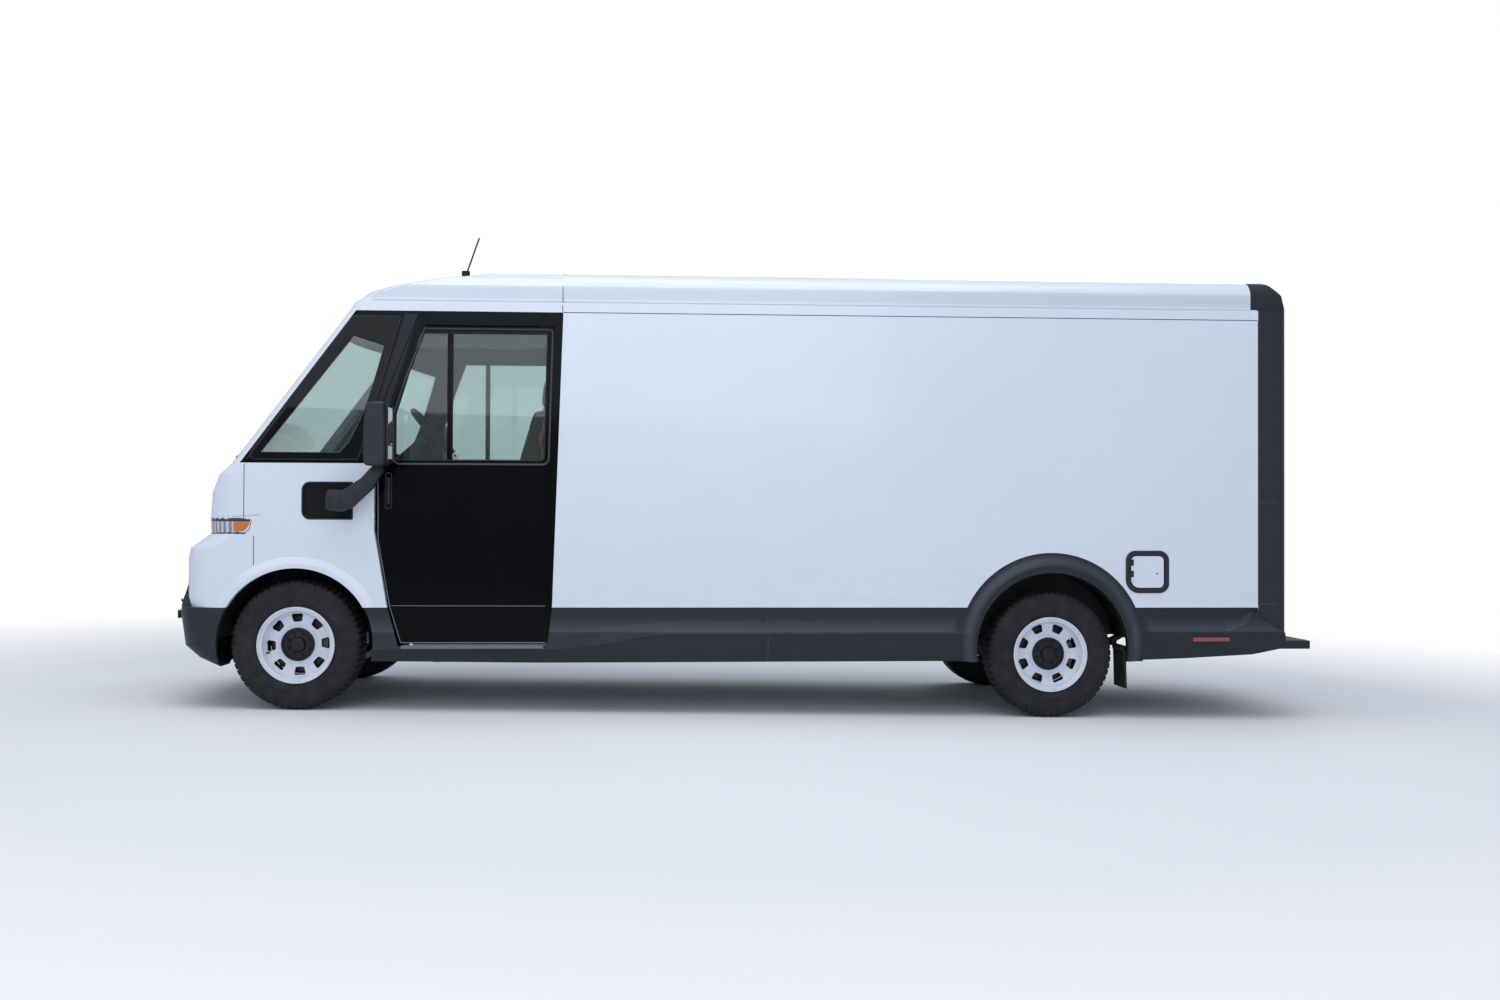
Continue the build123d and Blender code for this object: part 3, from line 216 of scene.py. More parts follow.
M = {
    "white": painted("white_paint", WHITE),
    "roof": painted("roof_paint", WHITE, band=(2.524, 2.612)),
    "trim": plain("satin_charcoal", CHARCOAL, (0.42, 0.52), 0.08, 0.10, 900.0, specular=0.35),
    "soft_black": plain("soft_black", (0.006, 0.0065, 0.008), (0.55, 0.7), 0.08, 0.12, 700.0, specular=0.3),
    "gloss": plain("gloss_black", BLACK, (0.07, 0.13), 0.05, specular=0.09),
    "frame": plain("window_frame_satin", (0.036, 0.038, 0.054), (0.3, 0.4), 0.05),
    "pillar": plain("pillar_satin", (0.012, 0.013, 0.018), (0.25, 0.35), 0.06, 0.05, 600.0, specular=0.2),
    "rail": plain("sill_rail", (0.16, 0.17, 0.20), (0.3, 0.45), 0.08, 0.1, 300.0, metal=0.4),
    # Painted shade: a pale grey laid in grooves where shade falls.
    "crease": plain("painted_groove_shade", (0.50, 0.55, 0.63), (0.5, 0.6), 0.03),
    "plate": plain("blank_plate", (0.55, 0.57, 0.60), (0.35, 0.45), 0.03, 0.1, 300.0),
    "mat": plain("dash_mat", (0.10, 0.11, 0.11), (0.7, 0.85), 0.08, 0.3, 700.0, sheen=0.2),
    "chassis": plain("chassis_black", (0.02, 0.02, 0.021), (0.5, 0.7), 0.2, 0.15, 120.0, 12.0),
    "battery": plain("battery_case", (0.30, 0.31, 0.32), (0.35, 0.5), 0.06, 0.08, 60.0, metal=0.8),
    "cast": plain("cast_alloy", (0.45, 0.46, 0.47), (0.4, 0.6), 0.08, 0.3, 220.0, metal=0.9),
    "iron": plain("cast_steel", (0.10, 0.10, 0.10), (0.5, 0.7), 0.15, 0.3, 260.0, metal=0.7),
    "deck": plain("deck_plate", (0.26, 0.27, 0.28), (0.4, 0.55), 0.08, 0.15, 90.0, metal=0.4),
    "inner": plain("inner_panel", (0.45, 0.46, 0.47), (0.45, 0.6), 0.03, 0.05, 200.0),
    "flap": plain("flap_rubber", (0.012, 0.012, 0.013), (0.65, 0.8), 0.15, 0.2, 500.0),
    "seal": plain("seal_rubber", (0.010, 0.010, 0.012), (0.5, 0.65), 0.1, 0.1, 600.0),
    "dash": plain("dash_plastic", (0.022, 0.022, 0.026), (0.5, 0.65), 0.06, 0.25, 900.0),
    # Painted highlight: a light grey for the light caught along the cab doors' edges.
    "edge": plain("painted_edge_highlight", (0.20, 0.21, 0.24), (0.3, 0.4), 0.05, metal=0.3),
    "gap": plain("panel_gap", (0.05, 0.055, 0.065), (0.7, 0.85), 0.05),
    "mirror": plain("mirror_face", (0.8, 0.82, 0.84), (0.02, 0.04), 0.01, metal=1.0),
    "bolt": plain("zinc_bolts", (0.35, 0.36, 0.38), (0.3, 0.45), 0.1, metal=0.9),
    "belt": plain("belt_webbing", (0.75, 0.16, 0.03), (0.55, 0.65), 0.06, 0.3, 700.0),
    "screen": plain("screen_glass", (0.01, 0.012, 0.016), (0.08, 0.12), 0.02, coat=0.6),
    "cap": plain("hub_cover_plastic", (0.005, 0.0055, 0.007), (0.3, 0.4), 0.08, 0.1, 700.0, specular=0.35),
}


def rubber():
    p = Paint("tyre_rubber")
    dust = p.span(p.noise(14.0, 5.0), 0.45, 0.75, 0.0, 0.5)
    p.base(p.mix(dust, (0.011, 0.0115, 0.013), (0.032, 0.032, 0.033)), 0.08, 9.0)
    p.rough(0.62, 0.78)
    p.bump(p.noise(420.0, 3.0), 0.12, 0.0008)
    p.fixed(specular=0.3)
    return p.mat


def wheel_paint(name, x, z):
    """A white steel wheel, with painted shade on its barrel and on the back of its dish seen through the
    slots, where the brake disc's own dark also shows.
    """
    p = Paint(name)
    out = p.math("ABSOLUTE", p.axes()[1])
    reach = p.reach(x, z)
    # The slots end 209 mm from the axle, where the face stands 928.7 mm out from the van's middle.
    within_slots = p.span(reach, 0.2088, 0.2094, 1.0, 0.0)
    face = p.span(reach, 0.184, 0.208, 0.8975, 0.9287)
    behind_face = p.span(p.math("SUBTRACT", face, out), -0.0005, 0.0005)
    barrel = p.span(out, 0.888, 0.892, 1.0, 0.0)
    # Painted shade on the barrel and the back of the dish, together with the dark of the brake disc inside
    # the slots.
    dark = p.math("MAXIMUM", p.product(within_slots, behind_face), barrel)
    dust = p.span(p.noise(16.0, 5.0), 0.5, 0.8, 0.0, 0.35)
    white = p.mix(dust, (0.66, 0.71, 0.78), (0.42, 0.43, 0.45))
    p.base(p.mix(dark, white, (0.014, 0.014, 0.016)), 0.02, 8.0)
    p.rough(0.3, 0.45)
    p.bump(p.noise(300.0, 2.0), 0.04, 0.0005)
    return p.mat


GLASS_TINT = (0.54, 0.66, 0.65)


def glass(name, outline=None):
    """Tinted glass, with a black printed border outside its clear outline where one is given."""
    p = Paint(name)
    shade = p.span(p.noise(2.0), 0.3, 0.7)
    clear_tint = p.mix(shade, GLASS_TINT, [c * 0.94 for c in GLASS_TINT])
    if outline:
        share = p.inside(outline)
        p.link(p.mix(share, BLACK, clear_tint), p.shader.inputs["Base Color"])
        p.link(share, p.shader.inputs["Transmission Weight"])
    else:
        p.link(clear_tint, p.shader.inputs["Base Color"])
        p.fixed(clear=1.0)
    p.rough(0.0, 0.03)
    p.fixed(ior=1.45, specular=0.2)
    return p.mat


def screen_glass():
    """The windscreen: a black printed band all round its clear middle."""
    p = Paint("windscreen_glass")
    _, y, z = p.axes()
    wide = p.span(z, 1.506, 2.44, 0.895, 0.880)
    side = p.span(p.math("SUBTRACT", wide, p.math("ABSOLUTE", y)), 0.0, 0.004)
    rise = p.product(p.span(z, 1.575, 1.579), p.span(z, 2.366, 2.370, 1.0, 0.0))
    share = p.product(side, rise)
    p.link(p.mix(share, BLACK, (0.62, 0.72, 0.70)), p.shader.inputs["Base Color"])
    p.link(share, p.shader.inputs["Transmission Weight"])
    p.rough(0.0, 0.03)
    p.fixed(ior=1.45, specular=0.2)
    return p.mat


def lamp():
    """The headlamp: a bright bucket with light and dark bands of painted reflection, an amber end, a dark top
    line and a white body corner.
    """
    p = Paint("headlamp")
    x, y, z = p.axes()
    along = p.math("ADD", p.product(x, 60.0), p.product(p.math("ABSOLUTE", y), 60.0))
    # Painted reflection: light and dark bands stand for the chrome bucket's reflections.
    reflection_bands = p.span(p.math("SINE", p.product(along, 2.4)), -0.2, 0.5)
    bucket = p.mix(reflection_bands, (0.55, 0.58, 0.62), (0.22, 0.23, 0.26))
    amber = p.product(p.span(x, -0.372, -0.366), p.span(z, 1.088, 1.091))
    shade = p.mix(amber, bucket, (0.60, 0.17, 0.02))
    top = p.span(z, 1.148, 1.151)
    shade = p.mix(top, shade, (0.02, 0.022, 0.03))
    ex = p.math("DIVIDE", p.math("ADD", x, 0.360), 0.092)
    ez = p.math("DIVIDE", p.math("SUBTRACT", 1.163, z), 0.088)
    round_end = p.math("ADD", p.product(ex, p.math("MAXIMUM", ex, 0.0)), p.product(ez, ez))
    corner = p.product(p.span(round_end, 0.99, 1.02), p.span(x, -0.362, -0.358))
    shade = p.mix(corner, shade, WHITE)
    p.base(shade, 0.02)
    p.rough(0.06, 0.10)
    p.fixed(coat=1.0, coat_rough=0.03)
    return p.mat


def tail_lamp():
    """A rear lamp: red with an amber and a clear field, ribbed."""
    p = Paint("tail_lamp")
    _, y, z = p.axes()
    field = p.mix(p.span(z, 1.70, 1.702), (0.55, 0.56, 0.58), (0.42, 0.010, 0.012))
    field = p.mix(p.span(z, 1.93, 1.932), field, (0.62, 0.16, 0.015))
    p.base(field, 0.03)
    p.rough(0.08, 0.14)
    p.bump(p.math("SINE", p.product(z, 900.0)), 0.25, 0.002)
    p.fixed(coat=1.0, coat_rough=0.03)
    return p.mat


def frame_trim():
    """The rear frame: charcoal, with the white flange of the roof carried over its front edge."""
    p = Paint("rear_frame_trim")
    x, _, z = p.axes()
    flange = p.product(p.span(x, 5.979, 5.981, 1.0, 0.0), p.span(z, 2.508, 2.510, 1.0, 0.0))
    p.base(p.mix(flange, CHARCOAL, WHITE), 0.04)
    p.rough(0.42, 0.52)
    p.bump(p.noise(900.0, 4.0), 0.1, 0.001)
    p.fixed(specular=0.35)
    return p.mat


def skirt_trim():
    """The skirts: charcoal with a painted highlight above their crease and round the rear wheel's flare."""
    p = Paint("skirt_trim")
    z = p.axes()[2]
    hollow = p.product(p.span(z, 0.470, 0.482), p.span(z, 0.490, 0.575, 1.0, 0.0))
    reach = p.reach(WHEELBASE, AXLE_Z)
    away = p.span(reach, 0.60, 0.64)
    flare = p.product(p.span(reach, 0.485, 0.520), p.span(reach, 0.535, 0.575, 1.0, 0.0))
    # Painted highlight: lighter charcoal in the band above the crease and on the flare round the rear wheel.
    light = p.math("MAXIMUM", p.product(hollow, away), flare)
    p.base(p.mix(light, [c * 0.8 for c in CHARCOAL], [c * 2.6 for c in CHARCOAL]), 0.06)
    p.rough(0.42, 0.55)
    p.bump(p.noise(900.0, 4.0), 0.1, 0.001)
    p.fixed(specular=0.35)
    return p.mat


def cloth(name, colour):
    p = Paint(name)
    weave = p.node("ShaderNodeTexVoronoi")
    weave.inputs["Scale"].default_value = 420.0
    p.link(p.place, weave.inputs["Vector"])
    p.base(colour, 0.12, 20.0)
    p.rough(0.8, 0.95)
    p.bump(weave.outputs["Distance"], 0.5, 0.0012)
    p.fixed(sheen=0.3)
    return p.mat


QUARTER_CLEAR = [(-205, 1572), (262, 1572), (320, 1640), (380, 1760), (440, 1925), (492, 2100), (524, 2222),
                 (345, 2280)]
M["tyre"] = rubber()
for axle, x, z in AXLES:
    M[f"wheel_{axle}"] = wheel_paint(f"wheel_paint_{axle}", x, z)
M["windscreen"] = screen_glass()
M["quarter"] = glass("quarter_glass_print", QUARTER_CLEAR)
M["pane"] = glass("door_glass_clear")
M["lamp"] = lamp()
M["tail"] = tail_lamp()
M["frame_trim"] = frame_trim()
M["skirt_trim"] = skirt_trim()
M["red"] = plain("reflector_red", (0.30, 0.05, 0.07), (0.2, 0.3), 0.05, 0.3, 500.0, coat=0.5)
M["seat"] = cloth("seat_cloth", (0.018, 0.018, 0.021))

look = {
    "aerial": "soft_black", "battery_pack": "battery", "bulkhead": "inner", "cab_frame": "gloss",
    "cab_roof": "roof", "cargo_roof": "roof", "cargo_walls": "white", "charge_door": "white",
    "charge_port": "trim", "chassis_frame": "chassis", "dashboard": "dash", "door_glass_left": "pane",
    "door_glass_right": "pane", "door_left": "gloss", "door_right": "gloss", "drive_unit": "cast",
    "driver_seat": "seat", "fenders": "white", "floor": "deck", "front_bumper": "trim",
    "front_suspension": "chassis", "headlamps": "lamp", "hood": "white", "knuckle_left": "iron",
    "knuckle_right": "iron", "load_deck": "deck", "mirror_glass": "mirror",
    "mirrors": "trim", "mud_flaps": "flap", "nose_panel": "white", "quarter_glass": "quarter",
    "rear_door_left": "white", "rear_door_right": "white", "rear_frame": "frame_trim", "rear_step": "trim",
    "rear_suspension": "chassis", "reflectors": "red", "side_vents": "soft_black", "skirts": "skirt_trim",
    "steering_column": "dash", "steering_wheel": "dash", "tail_lamps": "tail", "wheel_houses": "soft_black",
    "windscreen": "windscreen", "windscreen_pillars": "white", "wipers": "soft_black",
}
for axle, _, _ in AXLES:
    for _, name in SIDES:
        look[f"wheel_{axle}_{name}"] = f"wheel_{axle}"
        look[f"tyre_{axle}_{name}"] = "tyre"
for node, key in look.items():
    NODES[node].data.materials.clear()
    NODES[node].data.materials.append(M[key])


# Mesh helpers: every piece is drawn in the van's frame in mm and carried over by BODY

def piece(name, bm, material, body="root", smooth=32, place=BODY):
    """Turn a drawn mesh into a finished object that rides on a body."""
    bmesh.ops.transform(bm, matrix=place, verts=bm.verts)
    bmesh.ops.recalc_face_normals(bm, faces=bm.faces)
    for face in bm.faces:
        face.smooth = True
    for edge in bm.edges:
        edge.smooth = edge.is_manifold and edge.calc_face_angle(pi) < radians(smooth)
    mesh = bpy.data.meshes.new(name)
    bm.to_mesh(mesh)
    bm.free()
    mesh.materials.append(M[material])
    made = bpy.data.objects.new(name, mesh)
    bpy.context.scene.collection.objects.link(made)
    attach(made, body)
    return made


def bevel(bm, width, segments=2, angle=30):
    """Round a mesh's edges that are sharper than an angle."""
    sharp = [e for e in bm.edges if e.is_manifold and e.calc_face_angle(0) > radians(angle)]
    bmesh.ops.bevel(bm, geom=sharp, offset=width, segments=segments, profile=0.5, affect="EDGES", material=-1,
                    clamp_overlap=True)


def oblong(x0, x1, z0, z1):
    """The corners of a rectangle, anticlockwise from the lower left one."""
    return [(x0, z0), (x1, z0), (x1, z1), (x0, z1)]


def slab(bm, points, y0, y1):
    """A side outline in x, z made solid between two stations across the van."""
    verts = [bm.verts.new((x, y0, z)) for x, z in points]
    face = bm.faces.new(verts)
    got = bmesh.ops.extrude_face_region(bm, geom=[face])
    moved = [g for g in got["geom"] if isinstance(g, bmesh.types.BMVert)]
    bmesh.ops.translate(bm, verts=moved, vec=(0, y1 - y0, 0))


def brick(bm, x0, x1, y0, y1, z0, z1):
    """A block between two corners."""
    bmesh.ops.create_cube(bm, size=1, matrix=Matrix.Translation(((x0 + x1) / 2, (y0 + y1) / 2, (z0 + z1) / 2))
                          @ Matrix.Diagonal((x1 - x0, y1 - y0, z1 - z0, 1)))


def rod(bm, a, b, radius, segments=16, tip=None):
    """A round bar between two points, tapering to tip where one is given."""
    a, b = Vector(a), Vector(b)
    turn = (b - a).to_track_quat("Z", "Y").to_matrix().to_4x4()
    end = radius if tip is None else tip
    bmesh.ops.create_cone(bm, cap_ends=True, segments=segments, radius1=radius, radius2=end,
                          depth=(b - a).length, matrix=Matrix.Translation((a + b) / 2) @ turn)


def polar(radius, angle, y=0):
    """The point at a radius and an angle about the y axis."""
    return Vector((radius * cos(angle), y, radius * sin(angle)))


def loft(bm, rings, closed=False):
    """A skin through rings of points, capped at both ends or closed on itself."""
    loops = []
    for ring in rings:
        verts = [bm.verts.new(point) for point in ring]
        loops.append([bm.edges.new(pair) for pair in zip(verts, verts[1:] + verts[:1])])
    for a, b in zip(loops, loops[1:] + loops[:1] if closed else loops[1:]):
        bmesh.ops.bridge_loops(bm, edges=a + b)
    if not closed:
        for end in (loops[0], loops[-1]):
            bmesh.ops.edgeloop_fill(bm, edges=end)


def tube(bm, path, radius, segments=10):
    """A round tube along a line of points."""
    path = [Vector(p) for p in path]
    rings = []
    for i, p in enumerate(path):
        ahead = (path[min(i + 1, len(path) - 1)] - path[max(i - 1, 0)]).normalized()
        side = ahead.cross(Vector((0.03, 0.02, 1))).normalized()
        up = side.cross(ahead)
        turns = [tau * k / segments for k in range(segments)]
        rings.append([p + (side * cos(turn) + up * sin(turn)) * radius for turn in turns])
    loft(bm, rings)


def lathe(bm, profile, steps=48, closed=False, at=(0, 0)):
    """Profile points as (y, radius) turned about a line across the van at x, z, with any open end capped."""
    x, z = at
    verts = [bm.verts.new((x + radius, y, z)) for y, radius in profile]
    edges = [bm.edges.new(pair) for pair in zip(verts, verts[1:] + verts[:1] if closed else verts[1:])]
    bmesh.ops.spin(bm, geom=verts + edges, cent=(x, 0, z), axis=(0, -1, 0), angle=tau, steps=steps,
                   use_merge=True)
    bmesh.ops.remove_doubles(bm, verts=bm.verts, dist=0.01)
    bmesh.ops.holes_fill(bm, edges=[e for e in bm.edges if e.is_boundary])


def surface(*names):
    """The outer shape of some CAD nodes, for laying things on them."""
    bm = bmesh.new()
    for name in names:
        bm.from_mesh(NODES[name].data)
    bmesh.ops.transform(bm, matrix=VAN, verts=bm.verts)
    tree = BVHTree.FromBMesh(bm)
    bm.free()
    return tree


def lay(tree, x, z, side, lift=0.0):
    """The point over x, z on a side's surface, raised by lift."""
    hit, normal, _, _ = tree.ray_cast(Vector((x, side * 1500, z)), Vector((0, -side, 0)))
    if hit is None:
        return None
    if normal.y * side < 0:
        normal = -normal
    return hit + normal * lift


def densify(points, step=40):
    """The same line with points at most a step apart."""
    out = []
    for a, b in zip(points, points[1:]):
        count = max(1, int(hypot(*[q - p for p, q in zip(a, b)]) / step + 0.999))
        out += [tuple(p + (q - p) * i / count for p, q in zip(a, b)) for i in range(count)]
    return out + [tuple(points[-1])]


def ribbon(bm, lines, thick):
    """A strip through pairs of points (near edge, far edge, outward normal), made a little thick."""
    loft(bm, [(a, b, b - out * thick, a - out * thick) for a, b, out in lines])


SEAM_LIFT = 0.6
SEAM_THICK = 2.5


def side_strip(bm, tree, points, width, side, lift=SEAM_LIFT):
    """A strip of a given width laid on a side along a line of x, z points."""
    line = densify(points)
    lines = []
    for i, (x, z) in enumerate(line):
        before = line[max(i - 1, 0)]
        after = line[min(i + 1, len(line) - 1)]
        dx, dz = after[0] - before[0], after[1] - before[1]
        long = hypot(dx, dz) or 1
        nx, nz = -dz / long * width / 2, dx / long * width / 2
        a, b = lay(tree, x + nx, z + nz, side, lift), lay(tree, x - nx, z - nz, side, lift)
        if a is None or b is None:
            continue
        lines.append((a, b, Vector((0, side, 0))))
    if len(lines) > 1:
        ribbon(bm, lines, SEAM_THICK)


# Tyres with tread, and the wheels' hub covers, nuts and valves

GROOVES = ((-60, -51), (-21, -12), (12, 21), (51, 60))
TREAD_DROP = 7.5
PITCHES = 58
# One pitch of the tread: its stations as shares of the pitch, and whether a cross slot cuts each
STATIONS = ((0.0, 0), (0.36, 0), (0.72, 0), (0.77, 1), (0.95, 1))


def tyre_profile():
    """Points round the tyre's section as (y, radius, share of the tread's depth that a cross slot takes)."""
    wall = [(-102, 222), (-112, 236), (-114, 243), (-118, 250), (-121.5, 272), (-122.5, 292), (-121.5, 294),
            (-121.5, 299), (-122.5, 301), (-122.5, 322), (-121.0, 340), (-118.0, 356), (-116.0, 359)]
    shoulder = [(-113.0, 371, 0.55), (-106.0, 382, 0.9), (-96.0, 389.5, 1), (-80, 393, 1)]
    half = [(y, radius, 0) for y, radius in wall] + shoulder
    middle = []
    for low, high in GROOVES:
        crown = AXLE_Z - 0.0003 * low * low
        foot = crown - TREAD_DROP
        middle += [(low - 1, crown, 1), (low + 1, foot, 0), (high - 1, foot, 0), (high + 1, crown, 1)]
    return half + middle + [(-y, radius, share) for y, radius, share in reversed(half)]


def tyre(name, side, x, z, body):
    """A tyre with grooves and skewed cross slots, in place of the plain CAD ring."""
    bm = bmesh.new()
    rings = []
    for pitch in range(PITCHES):
        for share, cut in STATIONS:
            angle = tau * (pitch + share) / PITCHES
            rings.append([polar(radius - TREAD_DROP * slot * cut, angle + 0.00018 * y, y)
                          for y, radius, slot in tyre_profile()])
    loft(bm, rings, True)
    place = BODY @ Matrix.Translation((x, side * WHEEL_Y, z))
    made = piece(f"tread_{name}", bm, "tyre", body, 38, place)
    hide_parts(f"tyre_{name}")


for axle, x, z in AXLES:
    for side, name in SIDES:
        label = f"{axle}_{name}"
        body = f"wheel_{label}"
        place = BODY @ Matrix.Translation((x, side * WHEEL_Y, z)) @ Matrix.Diagonal((1, side, 1, 1))
        tyre(label, side, x, z, body)
        bm = bmesh.new()
        lathe(bm, [(50, 101), (60, 103), (65, 99), (66, 88), (61, 84), (60, 56), (62, 50), (76, 46), (82, 40),
                   (84, 30), (84, 0.001)], 56)
        for k in range(8):
            turn = tau * (k + 0.5) / 8
            rod(bm, polar(70, turn, 58), polar(70, turn, 70), 12, 6, 10)
        piece(f"hub_cover_{label}", bm, "cap", body, 30, place)
        bm = bmesh.new()
        turn = radians(196)
        rod(bm, polar(178, turn, 34), polar(192, turn, 60), 4.2, 12)
        rod(bm, polar(187, turn, 51), polar(193, turn, 63), 5.6, 12)
        piece(f"valve_{label}", bm, "seal", body, 40, place)
        bm = bmesh.new()
        for k in range(3):
            turn = tau * (k + 0.3) / 3
            rod(bm, polar(225, turn, 106), polar(225, turn, 112), 5, 8)
        piece(f"balance_weights_{label}", bm, "bolt", body, 40, place)


# Outlines in x, z and what is made from them

def rounded(points, radii, steps=6):
    """A closed outline with its corners rounded, all by one radius or each by its own."""
    each = radii if hasattr(radii, "__len__") else [radii] * len(points)
    out = []
    for i, (point, radius) in enumerate(zip(points, each)):
        here = Vector(point)
        to_last = (Vector(points[i - 1]) - here).normalized()
        to_next = (Vector(points[(i + 1) % len(points)]) - here).normalized()
        half = to_last.angle(to_next) / 2
        if radius < 0.5 or half > radians(88):
            out.append(tuple(here))
            continue
        centre = here + (to_last + to_next).normalized() * radius / sin(half)
        first = here + to_last * radius / tan(half) - centre
        last = here + to_next * radius / tan(half) - centre
        out += [tuple(centre + first.lerp(last, k / steps).normalized() * radius) for k in range(steps + 1)]
    return out


def corner_shift(line, i, closed):
    """How far a line's point moves sideways for each mm that the line is moved to its right."""
    before = line[i - 1] if i or closed else None
    after = line[(i + 1) % len(line)] if closed or i + 1 < len(line) else None
    here = Vector(line[i])
    normals = []
    if before is not None:
        step = here - Vector(before)
        normals.append(Vector((step.y, -step.x)).normalized())
    if after is not None:
        step = Vector(after) - here
        normals.append(Vector((step.y, -step.x)).normalized())
    mean = sum(normals, Vector((0, 0))).normalized()
    return mean / max(mean.dot(normals[0]), 0.5)


def shifted(line, distance, closed=True):
    """A line moved sideways, outwards if it is closed and runs anticlockwise."""
    return [tuple(Vector(p) + corner_shift(line, i, closed) * distance) for i, p in enumerate(line)]


def band(bm, near, far, y0, y1, closed=True, crown=0.3):
    """A crowned strip between two lines of x, z points, standing from y0 to y1."""
    low = y0 + (y1 - y0) * 0.55
    rings = []
    for a, b in zip(near, far):
        a, b = Vector(a), Vector(b)
        section = [(a, y0), (a, low), (a.lerp(b, crown), y1), (b.lerp(a, crown), y1), (b, low), (b, y0)]
        rings.append([(point.x, y, point.y) for point, y in section])
    loft(bm, rings, closed)


def stripe(bm, line, width, y0, y1):
    """A crowned strip of one width along an open line."""
    band(bm, shifted(line, -width / 2, False), shifted(line, width / 2, False), y0, y1, False)


def button(bm, x, z, y0, y1, radius, segments=24):
    """A round knob across the van with a softened rim."""
    shoulder = y0 + (y1 - y0) * 0.7
    lathe(bm, [(y0, 0.001), (y0, radius), (shoulder, radius), (y1, radius * 0.82), (y1, 0.001)], segments,
          at=(x, z))


def over(tree, x, y, lift=0.0):
    """The point of the surface under x, y, raised by lift."""
    hit, normal, _, _ = tree.ray_cast(Vector((x, y, 4000)), Vector((0, 0, -1)))
    return hit + (normal if normal.z > 0 else -normal) * lift


NOSE_EYE_X = 300


def girdle(bm, tree, z, bearings, width, lift, thick):
    """A strip round the nose at one height, between two bearings in degrees from straight ahead."""
    first, last = (radians(b) for b in bearings)
    steps = max(6, int(abs(bearings[1] - bearings[0]) / 2))
    lines = []
    for k in range(steps + 1):
        a = first + (last - first) * k / steps
        out = Vector((-cos(a), sin(a), 0))
        edges = []
        for level in (z - width / 2, z + width / 2):
            eye = Vector((NOSE_EYE_X, 0, level))
            hit, _, _, _ = tree.ray_cast(eye + out * 3000, -out)
            edges.append(hit + out * lift)
        lines.append((*edges, out))
    ribbon(bm, lines, thick)


# Panel gaps, roof seams, and strips of painted shade along the groove over the headlamps and under the roof's
# set-in band

all_sides = surface("fenders", "nose_panel", "hood", "headlamps", "cab_frame", "cab_roof", "cargo_walls",
                    "cargo_roof", "rear_frame", "skirts", "front_bumper", "windscreen_pillars",
                    "quarter_glass")
GAP_WIDTH = 4.5
GAPS = [
    [(-307, 1500), (-307, 1172)],
    [(-247, 1060), (-247, 885)],
    [(1609, 2445), (1609, 2604)],
    [(1614, 2440), (5976, 2440)],
    [(5980, 2435), (5980, 640)],
    [(1560, BELT), (4000, BELT)],
    [(5320, BELT), (5975, BELT)],
    [(2881, 600), (2881, 296)],
    [(5985, 1289), (6140, 1289)],
    [(5985, 648), (6140, 648)],
]


def roof_seam(bm, x, half_long, half_wide):
    """A strip laid across the roof at one x."""
    wide = Vector((half_wide, 0, 0))
    line = [over(all_sides, x, half_long * k / 10, SEAM_LIFT) for k in range(-10, 11)]
    ribbon(bm, [(p - wide, p + wide, Vector((0, 0, 1))) for p in line], SEAM_THICK)


bm = bmesh.new()
for side, _ in SIDES:
    for line in GAPS:
        side_strip(bm, all_sides, line, GAP_WIDTH, side)
for x in (2700, 3800, 4900):
    roof_seam(bm, x, 860, 2)
roof_seam(bm, 1608, 900, 3)
girdle(bm, all_sides, 1168, (-58, 58), 5, SEAM_LIFT, SEAM_THICK)
piece("panel_gaps", bm, "gap", "root", 40)

# Painted shade: pale grey strips for the shade in the groove over the headlamps and at the foot of the roof's
# set-in band.
bm = bmesh.new()
for side, _ in SIDES:
    side_strip(bm, all_sides, [(-470, 1177), (-330, 1180), (-204, 1192)], 9, side)
    side_strip(bm, all_sides, [(420, 2509), (5925, 2509)], 5, side)
girdle(bm, all_sides, 1177, (-40, 40), 9, SEAM_LIFT, SEAM_THICK)
piece("painted_groove_shade_strips", bm, "crease", "root", 40)
